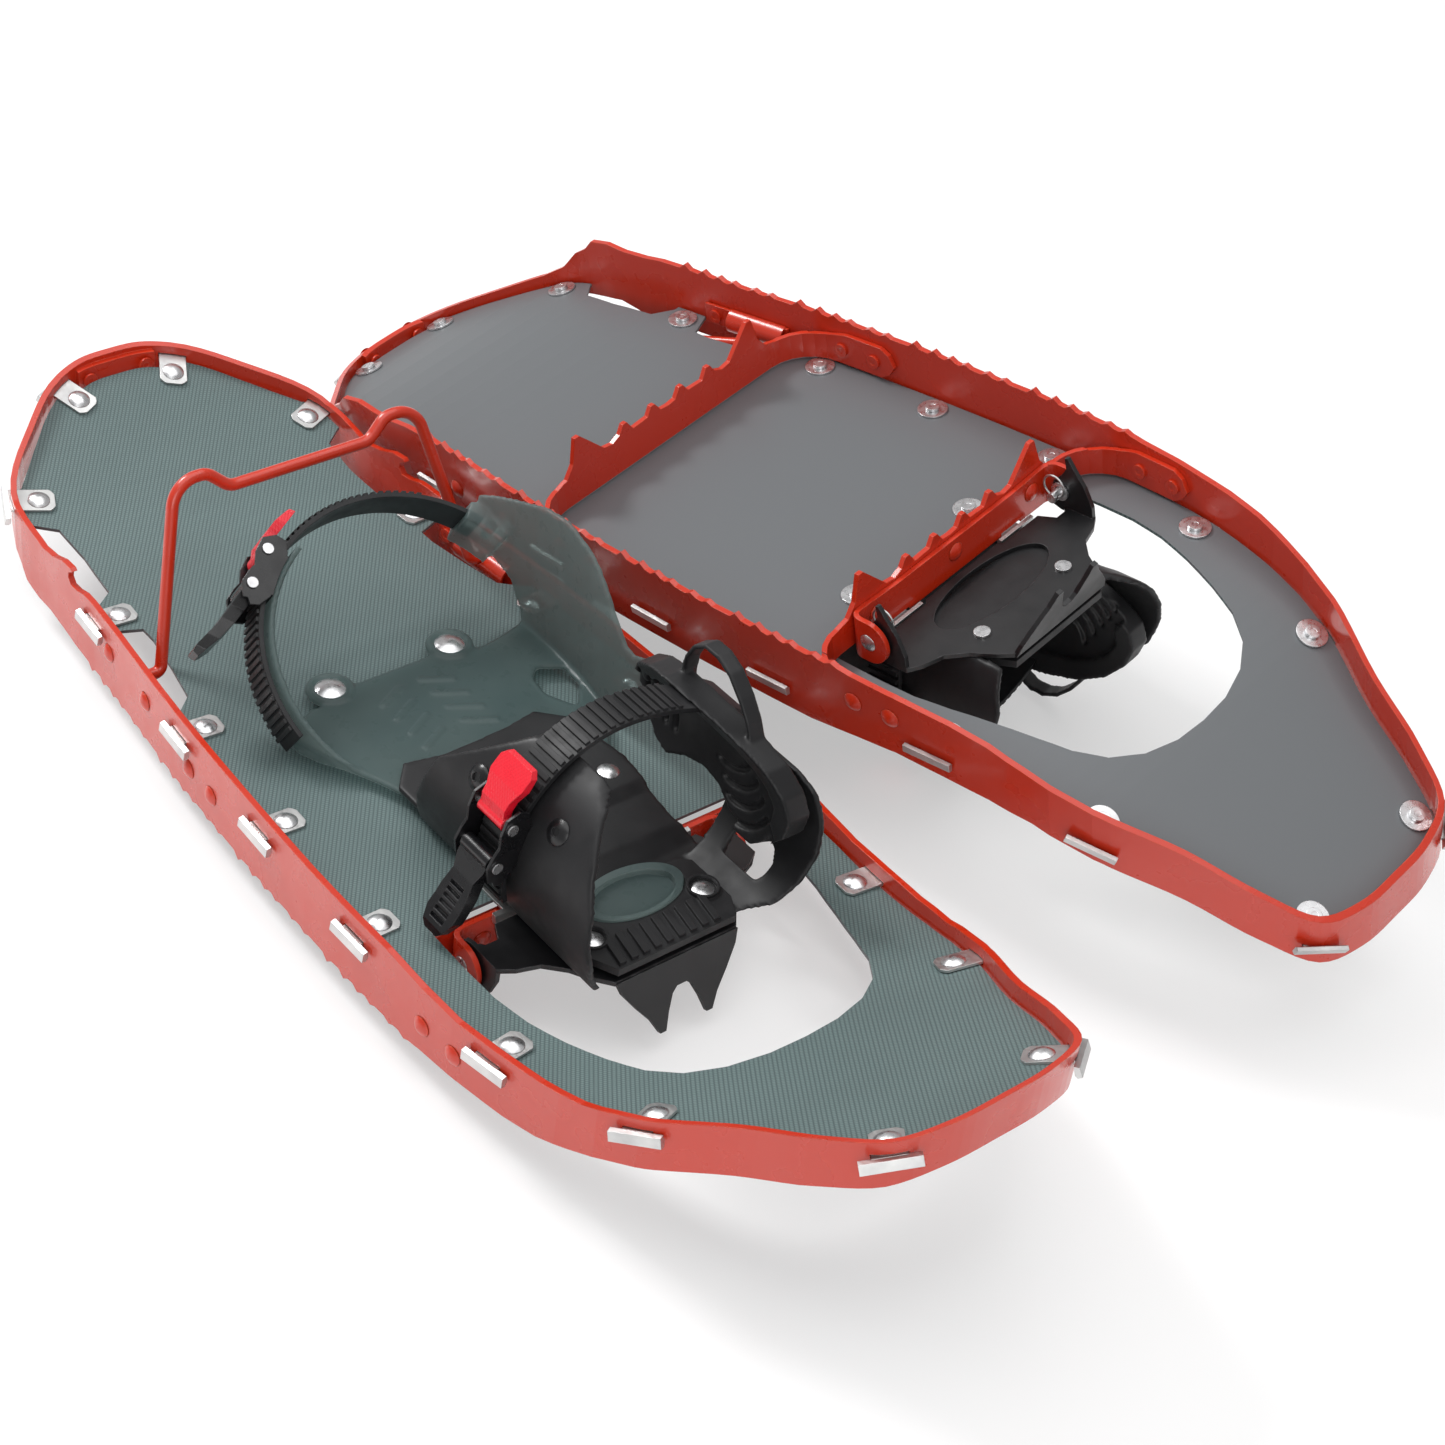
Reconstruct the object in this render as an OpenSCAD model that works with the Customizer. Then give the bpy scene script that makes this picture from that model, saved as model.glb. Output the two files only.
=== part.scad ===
// A pair of all-mountain snowshoes: toothed aluminium hoops, coated fabric decks on
// steel clips, toothed crossmembers, pivoting bindings with ladder straps, heel lifts.
// Shoe frame: +X to the wearer's right, +Y to the toe, +Z up, deck top at zero.

/* [Frame] */
// Thickness of the upright frame strip
blade_t = 2.8; // [2.2:0.1:3.4]
// Height of the strip above the deck along the middle
rail_top = 10.5; // [8:0.5:12]
// Depth of the strip below the deck along the middle
rail_bottom = 25; // [23:0.5:27]
// Height of the teeth on the strip
rail_tooth = 3.6; // [2.5:0.1:4.5]

/* [Deck] */
// Thickness of the coated fabric deck
deck_t = 1.6; // [1.2:0.1:2]
// Gap between deck edge and frame strip
deck_gap = 1.2; // [0.8:0.1:2]

/* [Clips] */
// Distance from the frame outside to the clip rivet
clip_reach = 12.3; // [11.5:0.1:13]
// Width of the clip tab
clip_w = 13; // [11:0.5:14]
// Radius of the rivet domes on the clips
clip_dome_r = 5.2; // [4:0.1:5.8]

/* [Crossmembers] */
// Position of the rear crossmember
rear_y = -88.5; // [-92:0.5:-86]
// Position of the front crossmember
front_y = 86.3; // [84:0.1:88]
// Thickness of the crossmembers and the pivot bracket
cross_t = 2.4; // [2:0.1:3]
// Depth of the big teeth below the deck
big_tooth = 37; // [33:0.5:40]

/* [Binding] */
// Position of the pivot pins along the shoe
pivot_y = 99; // [98:0.5:100]
// Depth of the pivot pins below the deck
pivot_z = -11.5; // [-12:0.5:-11]
// Thickness of the crampon plate
crampon_t = 2.2; // [1.8:0.1:2.6]
// Thickness of the moulded harness walls
tpu_t = 2.6; // [2.2:0.1:3]
// Radius of the toe wing under its buckle
toe_arch_r = 52; // [50:0.5:53]
// Radius of the heel wing under its buckle
heel_arch_r = 69; // [67:0.5:70]

/* [Display] */
// Angle of the heel lift of the right shoe from flat
bail_raise = 74; // [60:1:80]
// Draw one named piece or the whole part

/* [Hidden] */
$fn = 48;
eps = 0.01;
shank_r = 2.2;
hole_r = shank_r + 0.1;
deck_lift = 40;
floor_gap = 0.5;

frame_red = [0.83, 0.19, 0.1];
deck_grey = [0.4, 0.48, 0.47];
steel = [0.78, 0.78, 0.79];
black = [0.1, 0.1, 0.11];
smoke = [0.3, 0.36, 0.36];
tab_red = [0.88, 0.1, 0.16];

// ---------------------------------------------------------------- outline
// Stations of the frame outside, tail centre to toe centre, as [half width, y]
hoop = [
  [0, -305],
  [16, -304],
  [31, -298.5],
  [59, -275.5],
  [84.3, -245],
  [88.5, -205],
  [91.4, -157],
  [99.4, -70],
  [103, 0],
  [104.2, 72],
  [100, 158],
  [86.6, 232],
  [69.5, 266],
  [58.2, 295.5],
  [45.5, 316.3],
  [24, 323],
  [0, 324]
];
// Stations that carry a deck clip
clip_stations = [2, 4, 6, 7, 8, 9, 10, 11, 14];
last = len(hoop) - 1;

function mirrored_x(p) = [-p[0], p[1]];
function station(i) = i < 0 ? mirrored_x(hoop[-i]) : i > last ? mirrored_x(hoop[2 * last - i]) : hoop[i];
function chord(i) = norm(station(i + 1) - station(i));
function tangent(i) =
  let (a = chord(i - 1), b = chord(i))
  ((station(i) - station(i - 1)) * b / a + (station(i + 1) - station(i)) * a / b) / (a + b);
function hoop_at(i, t) =
  let (h = chord(i), u = 1 - t)
  station(i) * (1 + 2 * t) * u * u + tangent(i) * h * t * u * u
  + station(i + 1) * (3 - 2 * t) * t * t - tangent(i + 1) * h * t * t * u;
function unit(v) = v / norm(v);
function outward(v) = let (u = unit(v)) [u[1], -u[0]];
function station_out(i) = outward(tangent(i));
// Point and outward direction on the side of the hoop nearest to a given y
function seg_of(y) = [for (i = [1 : last - 2]) if (hoop[i][1] <= y && y < hoop[i + 1][1]) i][0];
function seg_t(y) = let (i = seg_of(y)) (y - hoop[i][1]) / (hoop[i + 1][1] - hoop[i][1]);
function side_pt(y) = hoop_at(seg_of(y), seg_t(y));
function side_out(y) =
  outward(hoop_at(seg_of(y), min(1, seg_t(y) + 0.02)) - hoop_at(seg_of(y), max(0, seg_t(y) - 0.02)));
function steps(i) = i > 4 && i < 11 ? 4 : 5;
half_outline = [for (i = [0 : last - 1]) for (k = [0 : steps(i) - 1]) hoop_at(i, k / steps(i))];
function reversed(v) = [for (i = [len(v) - 1 : -1 : 0]) v[i]];
function both_ways(v) = concat([for (p = reversed(v)) if (p[0] > eps) mirrored_x(p)], v);
outline = concat(
  half_outline,
  [hoop[last]],
  [for (p = reversed(half_outline)) if (p[0] > eps) mirrored_x(p)]
);

module hoop_2d(inset) {
  offset(delta = -inset) {
    polygon(outline);
  }
}

// ---------------------------------------------------------------- rocker
tail_rocker_y = -160;
tail_rocker_k = 0.00139;
toe_rocker_y = 140;
toe_rocker_k = 0.0025;
toe_flat_y = 235;
toe_slope = 2 * toe_rocker_k * (toe_flat_y - toe_rocker_y);
function deck_z(y) =
  y < tail_rocker_y ? tail_rocker_k * pow(y - tail_rocker_y, 2) :
  y < toe_rocker_y ? 0 :
  y < toe_flat_y ? toe_rocker_k * pow(y - toe_rocker_y, 2) :
  toe_rocker_k * pow(toe_flat_y - toe_rocker_y, 2) + toe_slope * (y - toe_flat_y);
function deck_slope(y) = atan((deck_z(y + 0.5) - deck_z(y - 0.5)));

// Prism of a shape drawn in the plane of +Y and +Z, reaching across the shoe
module along_x(x0, x1) {
  translate([x0, 0, 0]) {
    rotate([90, 0, 90]) {
      linear_extrude(x1 - x0) {
        children();
      }
    }
  }
}

// Prism of a shape drawn in the plane of +X and +Z, reaching along the shoe
module along_y(y0, y1) {
  translate([0, y1, 0]) {
    rotate([90, 0, 0]) {
      linear_extrude(y1 - y0) {
        children();
      }
    }
  }
}

// ---------------------------------------------------------------- frame
half_w_max = 112;
tooth_pitch = 71.3;
tooth_group = [0, 12, 22, 31, 44, 54];
tooth_part = [1, 0.9, 0.75, 0.6, 0.55, 0.55];
first_group_y = -160;

// Teeth on the lower edge of the strip, heights relative to the deck
teeth = [
  for (g = [0 : 3])
    for (k = [0 : 5])
      let (y = first_group_y + g * tooth_pitch + tooth_group[k], d = rail_tooth * tooth_part[k])
      each [[y - 3.4, -rail_bottom - d * 0.18], [y, -rail_bottom - d], [y + 3.2, -rail_bottom - d * 0.28]]
];
tail_low = [
  [-312, -8],
  [-256, -8],
  [-246, -11],
  [-238, -19],
  [-231, -22],
  [-226, -27],
  [-214, -27.5],
  [-202, -25],
  [-188, -24.5],
  [-176, -25.5]
];
toe_low = [
  [118, -24.5],
  [140, -23],
  [168, -22],
  [186, -21.5],
  [202, -19.5],
  [218, -18],
  [236, -18.2],
  [262, -17.5],
  [290, -16.5],
  [316, -14.5],
  [330, -12]
];
toe_high = [
  [330, 9],
  [300, 8],
  [262, 7.5],
  [236, 7],
  [206, 6.5],
  [186, 7.5],
  [164, 8.5],
  [140, 7.5],
  [118, 8.5],
  [94, rail_top],
  [40, rail_top - 0.5],
  [-20, rail_top],
  [-80, rail_top],
  [-160, rail_top],
  [-166, rail_top - 0.5],
  [-173, 7.5],
  [-179, 6.5],
  [-181.5, 9],
  [-181, 12],
  [-177.5, 14.5],
  [-179, 15.5],
  [-187, 14],
  [-197, 9],
  [-208, 5.5],
  [-240, 5],
  [-312, 5]
];
function bent(list) = [for (p = list) [p[0], deck_z(p[0]) + p[1]]];

module blade_side_2d() {
  polygon(bent(concat(tail_low, teeth, toe_low, toe_high)));
}

overlap_rivets = [-16, 14];
lap_notch = 2 * blade_t + 3.6;

// Short second layer of the strip where its ends lap at the tail
module tail_lap() {
  lap_z = deck_z(-300);
  intersection() {
    translate([0, 0, lap_z - 8]) {
      linear_extrude(13) {
        difference() {
          hoop_2d(blade_t - 0.6);
          hoop_2d(2 * blade_t);
        }
      }
    }
    along_y(-330, -270) {
      translate([-21, lap_z - 7.4]) {
        square([41, 11.6]);
      }
    }
  }
}

module at_side(y, side) {
  p = side_pt(y);
  o = side_out(y);
  translate([side * p[0], p[1], 0]) {
    rotate([0, 0, side > 0 ? atan2(o[1], o[0]) : 180 - atan2(o[1], o[0])]) {
      children();
    }
  }
}

// Flat tabs stand a little off the deck where it curves
function clip_rise(y) =
  y > toe_rocker_y - 15 && y < toe_flat_y + 15 ? 0.45 : y < tail_rocker_y + 15 ? 0.25 : 0;

module at_clip(i, side) {
  $rise = clip_rise(hoop[i][1]);
  p = hoop[i];
  o = station_out(i);
  q = p - o * clip_reach;
  translate([side * q[0], q[1], deck_z(q[1])]) {
    rotate([deck_slope(q[1]), 0, 0]) {
      rotate([0, 0, side > 0 ? atan2(o[1], o[0]) : 180 - atan2(o[1], o[0])]) {
        children();
      }
    }
  }
}

module each_side_clip() {
  for (i = clip_stations) {
    for (side = [-1, 1]) {
      at_clip(i, side) {
        children();
      }
    }
  }
}

// Heights and places of the rivets through the strip
flange_rivet_z = -11;
rear_flange_y = [rear_y + 27.5, rear_y + 47.5];
front_flange_y = [front_y + 32.5, front_y + 52];
bail_rivet_y = [-141, -103.5];
bail_rivet_z = -5;
bail_plate_t = 1.6;
bail_fit = 0.4;
rivet_head_r = 4.6;

module strip_rivet_sites() {
  for (side = [-1, 1]) {
    for (y = concat(rear_flange_y, front_flange_y)) {
      at_side(y, side) {
        translate([0, 0, flange_rivet_z]) {
          rotate([0, 90, 0]) {
            children();
          }
        }
      }
    }
  }
}

module bail_rivet_sites() {
  for (side = [-1, 1]) {
    for (y = bail_rivet_y) {
      at_side(y, side) {
        translate([0, 0, bail_rivet_z]) {
          rotate([0, 90, 0]) {
            children();
          }
        }
      }
    }
  }
}

module lap_rivet_sites() {
  for (x = overlap_rivets) {
    translate([x, -305.1, deck_z(-300) - 1.6]) {
      rotate([90, 0, 0]) {
        children();
      }
    }
  }
}

module frame() {
  color(frame_red) {
    difference() {
      union() {
        intersection() {
          translate([0, 0, -60]) {
            linear_extrude(160) {
              difference() {
                polygon(outline);
                hoop_2d(blade_t);
              }
            }
          }
          along_x(-half_w_max, half_w_max) {
            blade_side_2d();
          }
        }
        tail_lap();
      }
      each_side_clip() {
        translate([clip_reach - 8, -clip_w / 2 - 0.4, -0.2]) {
          cube([14, clip_w + 0.8, 2.4]);
        }
      }
      strip_rivet_sites() {
        cylinder(r = hole_r, h = 16, center = true);
      }
      bail_rivet_sites() {
        cylinder(r = hole_r, h = 16, center = true);
      }
      lap_rivet_sites() {
        cylinder(r = hole_r, h = 20, center = true);
      }
    }
  }
}

// ---------------------------------------------------------------- deck
toe_hole = [
  [77, front_y - 2.6],
  [77.5, 112],
  [77, 130],
  [74, 148],
  [69, 166],
  [63, 184],
  [57, 199],
  [48, 211],
  [34, 219.5],
  [17, 224],
  [0, 225]
];
mid_gap = [
  [110, -229],
  [83, -228.5],
  [73, -221],
  [72, -200],
  [74, -174],
  [84, -166.5],
  [110, -166]
];
bail_gap = [
  [110, -150],
  [88, -148.5],
  [74.5, -143],
  [74.5, -134],
  [78, -112],
  [82, -92],
  [93, -82],
  [110, -81]
];
diag_gap = [[39, -296], [44, -285], [60, -268], [76, -250.5], [84, -250], [66, -278]];

module both_sides() {
  children();
  mirror([1, 0, 0]) {
    children();
  }
}

module deck_2d() {
  difference() {
    hoop_2d(blade_t + deck_gap);
    both_sides() {
      polygon(concat([[0, front_y - 2.6]], toe_hole));
      polygon(mid_gap);
      polygon(bail_gap);
      polygon(diag_gap);
    }
    difference() {
      translate([-28, -310]) {
        square([53, 20]);
      }
      hoop_2d(lap_notch);
    }
  }
}

deck_steps = 11;
tail_ys = [for (k = [0 : deck_steps]) -320 + k * 160 / deck_steps];
toe_ys = [for (k = [0 : deck_steps]) toe_rocker_y + k * (toe_flat_y - toe_rocker_y) / deck_steps];
deck_ys = concat(tail_ys, toe_ys, [345]);

module deck_side_2d(top, bottom) {
  polygon(concat(
    [for (y = deck_ys) [y, deck_z(y) - top]],
    [for (y = reversed(deck_ys)) [y, deck_z(y) - bottom]]
  ));
}

module deck() {
  color(deck_grey) {
    difference() {
      intersection() {
        translate([0, 0, -30]) {
          linear_extrude(120) {
            deck_2d();
          }
        }
        along_x(-half_w_max, half_w_max) {
          deck_side_2d(0, deck_t);
        }
      }
      each_side_clip() {
        cylinder(r = hole_r, h = 10, center = true);
      }
      each_cross_clip() {
        cylinder(r = hole_r, h = 10, center = true);
      }
    }
  }
}

// ---------------------------------------------------------------- clips
clip_t = 1.2;
clip_lift = 0.05;
bar_len = 23;
bar_t = 2.2;
bar_h = 4.6;
bar_gap = 1;
cross_clip_x = [-39, 39];
cross_clip_y = 65;

module each_cross_clip() {
  $rise = 0;
  for (x = cross_clip_x) {
    translate([x, cross_clip_y, 0]) {
      rotate([0, 0, 90]) {
        children();
      }
    }
  }
}

module clip_tab(reach) {
  translate([0, 0, clip_lift]) {
    linear_extrude(clip_t) {
      difference() {
        union() {
          intersection() {
            translate([-7.4, -clip_w / 2]) {
              square([10, clip_w]);
            }
            circle(r = 8.2);
          }
          translate([0, -clip_w / 2]) {
            square([reach + bar_gap + 0.4, clip_w]);
          }
        }
        circle(r = hole_r);
      }
    }
  }
}

module clip_bar(reach) {
  translate([reach + bar_gap, 0, clip_lift + clip_t]) {
    rotate([-90, 0, 0]) {
      translate([0, 0, -bar_len / 2]) {
        linear_extrude(bar_len) {
          polygon([[0, 0], [bar_t, 0.6], [bar_t + 0.6, bar_h], [0.9, bar_h + 0.2], [0, bar_h - 1]]);
        }
      }
    }
  }
}

module clip(reach) {
  translate([0, 0, $rise]) {
    clip_tab(reach);
    clip_bar(reach);
  }
}

module deck_clips() {
  color(steel) {
    each_side_clip() {
      clip(clip_reach);
    }
    each_cross_clip() {
      clip(front_y + cross_t / 2 - cross_clip_y + bracket_off);
    }
  }
}

// Domed head: cap of a ball cut flat
module dome(r, h) {
  ball = (r * r + h * h) / (2 * h);
  intersection() {
    translate([0, 0, h - ball]) {
      sphere(r = ball, $fn = 96);
    }
    cylinder(r = r + 1, h = h + 1);
  }
}

washer_r = 7.4;
washer_t = 1;

module deck_rivet() {
  top = $rise + clip_lift + clip_t + clip_lift;
  low = deck_t + 2 * clip_lift + washer_t;
  translate([0, 0, top]) {
    dome(clip_dome_r, 2.1);
  }
  translate([0, 0, -low - 1.4]) {
    cylinder(r = shank_r, h = top + low + 1.6);
  }
  translate([0, 0, -low - 1.5]) {
    difference() {
      cylinder(r = 3.5, h = 1.45);
      translate([0, 0, -eps]) {
        cylinder(r = 1.5, h = 1);
      }
    }
  }
}

module deck_rivets() {
  color(steel) {
    each_side_clip() {
      deck_rivet();
    }
    each_cross_clip() {
      deck_rivet();
    }
  }
}

module deck_washer() {
  translate([0, 0, -deck_t - clip_lift - washer_t]) {
    difference() {
      cylinder(r = washer_r, h = washer_t);
      translate([0, 0, -1]) {
        cylinder(r = hole_r, h = washer_t + 2);
      }
    }
  }
}

module deck_washers() {
  color(steel) {
    each_side_clip() {
      deck_washer();
    }
    each_cross_clip() {
      deck_washer();
    }
  }
}

// ---------------------------------------------------------------- strip rivets
module through_rivet(grip) {
  translate([0, 0, 0.15]) {
    dome(rivet_head_r, 2);
  }
  translate([0, 0, -grip - 1]) {
    cylinder(r = shank_r, h = grip + 1.2);
  }
  translate([0, 0, -grip - 1.25]) {
    difference() {
      cylinder(r = 3.6, h = 1.2);
      translate([0, 0, -eps]) {
        cylinder(r = 1.5, h = 0.9);
      }
    }
  }
}

flange_gap = 0.2;
lap_slack = 2.3;

module frame_rivets() {
  color(frame_red) {
    strip_rivet_sites() {
      through_rivet(blade_t + flange_gap + cross_t);
    }
    bail_rivet_sites() {
      through_rivet(blade_t + bail_fit + bail_plate_t + 0.1);
    }
    lap_rivet_sites() {
      through_rivet(2 * blade_t + lap_slack);
    }
    bracket_rivet_sites() {
      through_rivet(2 * cross_t + bracket_gap);
    }
  }
}

// ---------------------------------------------------------------- crossmembers
// Line of the strip inside, set in by a distance, at a given y
function rail_in(y, d) = side_pt(y) - side_out(y) * (blade_t + d);

flange_bend = 17;
flange_len = 50;
function cross_path(y0) =
  let (
    d = flange_gap + cross_t / 2,
    a = rail_in(y0 + flange_bend + 8, d),
    b = rail_in(y0 + flange_bend + 20, d),
    c = rail_in(y0 + flange_len, d),
    e = rail_in(y0 + flange_len + 11, d)
  )
  concat(
    [[0, y0], [a[0] - flange_bend - 7, y0]],
    [for (k = [1 : 6])
      let (t = k * 15)
      [a[0] - flange_bend - 7 + (flange_bend + 7) * sin(t), y0 + (flange_bend + 8) * (1 - cos(t))]],
    [b, c, e]
  );

module band_2d(path, t) {
  n = len(path) - 1;
  dirs = [for (i = [0 : n]) unit(path[min(n, i + 1)] - path[max(0, i - 1)])];
  polygon(concat(
    [for (i = [0 : n]) path[i] + outward(dirs[i]) * t / 2],
    [for (i = [n : -1 : 0]) path[i] - outward(dirs[i]) * t / 2]
  ));
}

cross_top = -3.1;
small_tooth_x = [9.5, 28.5];

cross_edge = [
  [91, cross_top],
  [91, -17],
  [76, -16.5],
  [69, -18],
  [64, -24],
  [60.5, -big_tooth],
  [57.5, -big_tooth],
  [50, -29],
  [43.5, -22],
  [38, -21],
  [33, -23],
  [small_tooth_x[1] + 1.5, -27.5],
  [small_tooth_x[1] - 1, -27.5],
  [24, -22],
  [14, -22.5],
  [small_tooth_x[0] + 1.5, -27],
  [small_tooth_x[0] - 1, -27],
  [5, -22],
  [0.1, -21.5]
];

module cross_face_2d() {
  polygon(concat(cross_edge, [for (p = reversed(cross_edge)) mirrored_x(p)]));
}

module flange_side_2d(y0) {
  top = cross_top;
  low = flange_rivet_z - 9;
  polygon([
    [y0 + 4, top],
    [y0 + 52, top],
    [y0 + 57, top - 3],
    [y0 + 60, flange_rivet_z],
    [y0 + 57, low + 3],
    [y0 + 52, low],
    [y0 + 30, low],
    [y0 + 20, low + 2.5],
    [y0 + 4, low + 4]
  ]);
}

module crossmember(y0) {
  difference() {
    intersection() {
      translate([0, 0, -60]) {
        linear_extrude(70) {
          band_2d(both_ways(cross_path(y0)), cross_t);
        }
      }
      union() {
        along_y(y0 - 10, y0 + 14) {
          cross_face_2d();
        }
        along_x(-half_w_max, half_w_max) {
          flange_side_2d(y0);
        }
      }
    }
    strip_rivet_sites() {
      cylinder(r = hole_r, h = 20, center = true);
    }
  }
}

module rear_crossmember() {
  color(frame_red) {
    crossmember(rear_y);
  }
}

bracket_gap = 0.15;
bracket_off = bracket_gap + cross_t;
bracket_x = 69;
ear_r = 10.5;
bracket_rivet_x = [-54, 0, 54];
bracket_rivet_z = -13;

module bracket_rivet_sites() {
  for (x = bracket_rivet_x) {
    translate([x, front_y + cross_t / 2 + bracket_off + 0.05, bracket_rivet_z]) {
      rotate([-90, 0, 0]) {
        children();
      }
    }
  }
}

module cross_clip_slots() {
  each_cross_clip() {
    translate([front_y - cross_clip_y - 6, -clip_w / 2 - 0.4, -3]) {
      cube([14, clip_w + 0.8, 4.8]);
    }
  }
}

module front_crossmember() {
  color(frame_red) {
    difference() {
      crossmember(front_y);
      bracket_rivet_sites() {
        cylinder(r = hole_r, h = 20, center = true);
      }
      cross_clip_slots();
    }
  }
}

// ---------------------------------------------------------------- pivot bracket
bracket_bend = 6;
bracket_line_y = front_y + cross_t + bracket_gap;
bracket_path = concat(
  [[0, bracket_line_y], [bracket_x - bracket_bend, bracket_line_y]],
  [for (k = [1 : 6])
    let (t = k * 15)
    [bracket_x - bracket_bend + bracket_bend * sin(t), bracket_line_y + bracket_bend * (1 - cos(t))]],
  [[bracket_x, pivot_y + ear_r]]
);

module pivot_bracket() {
  color(frame_red) {
    difference() {
      intersection() {
        translate([0, 0, -60]) {
          linear_extrude(70) {
            band_2d(both_ways(bracket_path), cross_t);
          }
        }
        union() {
          along_y(bracket_line_y - 5, bracket_line_y + bracket_bend) {
            polygon([[-80, -1.5], [80, -1.5], [80, -22], [40, -20], [-40, -20], [-80, -22]]);
          }
          along_x(-half_w_max, half_w_max) {
            translate([pivot_y, pivot_z]) {
              circle(r = ear_r);
            }
            translate([bracket_line_y + 2, pivot_z - ear_r]) {
              square([pivot_y - bracket_line_y - 2, 2 * ear_r]);
            }
          }
        }
      }
      pivot_axis() {
        cylinder(r = pin_r + 0.15, h = 200, center = true);
      }
      bracket_rivet_sites() {
        cylinder(r = hole_r, h = 20, center = true);
      }
      cross_clip_slots();
    }
  }
}

// ---------------------------------------------------------------- pivot pins
pin_r = 2.5;
crampon_ear_x = 65.5;
pin_head_r = 4.2;

module pivot_axis() {
  translate([0, pivot_y, pivot_z]) {
    rotate([0, 90, 0]) {
      children();
    }
  }
}

pin_inner_x = 57;
ring_hole_x = 59.4;

module pivot_pins() {
  color(steel) {
    both_sides() {
      difference() {
        union() {
          pivot_axis() {
            translate([0, 0, pin_inner_x]) {
              cylinder(r = pin_r, h = bracket_x + cross_t / 2 + 0.4 - pin_inner_x);
            }
          }
          pivot_axis() {
            translate([0, 0, bracket_x + cross_t / 2 + 0.15]) {
              dome(pin_head_r, 1.6);
            }
          }
        }
        translate([ring_hole_x, pivot_y, pivot_z]) {
          rotate([90, 0, 0]) {
            cylinder(r = 1.25, h = 10, center = true);
          }
        }
      }
      pivot_axis() {
        translate([0, 0, crampon_ear_x - crampon_t / 2 - 1.2]) {
          difference() {
            cylinder(r = 4.6, h = 1);
            translate([0, 0, -1]) {
              cylinder(r = pin_r + 0.15, h = 3);
            }
          }
        }
      }
    }
  }
}

ring_r = 5.6;
ring_wire = 0.55;

module split_rings() {
  color(steel) {
    both_sides() {
      translate([ring_hole_x, pivot_y, pivot_z - ring_r]) {
        rotate([0, 90, 0]) {
          rotate_extrude() {
            translate([ring_r, 0]) {
              circle(r = ring_wire);
            }
          }
        }
      }
    }
  }
}

// ---------------------------------------------------------------- heel lift
bail_y = -114;
bail_z = -1;
bail_r = 2.75;
bail_out_x = 89;
bail_foot_x = 82.5;
bail_top_x = 62;
bail_len = 82;
bail_dip = 9;
channel_r = 6.4;
channel_t = 1.3;
channel_y = [-131, -97];

weld = 0.2;

// Rod along a flat line of points with arcs of given radii at the inner points
module flat_rod(pts, radii, r) {
  n = len(pts) - 1;
  turn = [for (i = [1 : n - 1])
    let (a = unit(pts[i] - pts[i - 1]), b = unit(pts[i + 1] - pts[i]))
    atan2(a[0] * b[1] - a[1] * b[0], a * b)];
  back = concat([0], [for (i = [0 : n - 2]) radii[i] * tan(abs(turn[i]) / 2)], [0]);
  for (i = [0 : n - 1]) {
    u = unit(pts[i + 1] - pts[i]);
    len_i = norm(pts[i + 1] - pts[i]) - back[i] - back[i + 1];
    translate(concat(pts[i] + u * (back[i] - weld), [0])) {
      rotate([0, 0, atan2(u[1], u[0])]) {
        rotate([0, 90, 0]) {
          cylinder(r = r, h = len_i + 2 * weld);
        }
      }
    }
  }
  for (i = [1 : n - 1]) {
    u = unit(pts[i] - pts[i - 1]);
    side = turn[i - 1] > 0 ? 1 : -1;
    c = pts[i] - u * back[i] + side * radii[i - 1] * [-u[1], u[0]];
    start = atan2(u[1], u[0]) - side * 90;
    translate([c[0], c[1], 0]) {
      rotate([0, 0, side > 0 ? start : start + turn[i - 1]]) {
        rotate_extrude(angle = abs(turn[i - 1])) {
          translate([radii[i - 1], 0]) {
            circle(r = r + 0.02);
          }
        }
      }
    }
  }
}

bail_line = [
  [bail_out_x, 0],
  [bail_foot_x, 0],
  [bail_top_x, bail_len],
  [46, bail_len],
  [36, bail_len - bail_dip],
  [-36, bail_len - bail_dip],
  [-46, bail_len],
  [-bail_top_x, bail_len],
  [-bail_foot_x, 0],
  [-bail_out_x, 0]
];
bail_bends = [4, 14, 9, 9, 9, 9, 14, 4];

// Lift lying towards the tail at zero, standing up as the angle grows
module heel_lift(raise) {
  color(frame_red) {
    translate([0, bail_y, bail_z]) {
      rotate([-raise, 0, 0]) {
        mirror([0, 1, 0]) {
          flat_rod(bail_line, bail_bends, bail_r);
        }
      }
    }
  }
}

module bail_bracket_side() {
  x_in = rail_in(bail_y, bail_fit)[0];
  lean = atan2(side_out(bail_y)[1], side_out(bail_y)[0]);
  difference() {
    union() {
      translate([x_in, bail_y, 0]) {
        rotate([0, 0, lean]) {
          translate([-bail_plate_t, -33, bail_rivet_z - 6]) {
            cube([bail_plate_t, 52, 11]);
          }
          translate([0, channel_y[0] - bail_y, bail_rivet_z]) {
            rotate([-90, 0, 0]) {
              difference() {
                cylinder(r = channel_r, h = channel_y[1] - channel_y[0]);
                translate([0, 0, -1]) {
                  cylinder(r = channel_r - channel_t, h = channel_y[1] - channel_y[0] + 2);
                }
                translate([0, -10, -1]) {
                  cube([20, 20, 50]);
                }
              }
            }
          }
        }
      }
    }
    translate([0, bail_y, bail_z]) {
      rotate([0, 90, 0]) {
        cylinder(r = bail_r + 0.25, h = bail_out_x + 0.6);
      }
    }
    bail_rivet_sites() {
      cylinder(r = hole_r, h = 12, center = true);
    }
  }
}

module bail_brackets() {
  color(frame_red) {
    both_sides() {
      bail_bracket_side();
    }
  }
}

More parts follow.
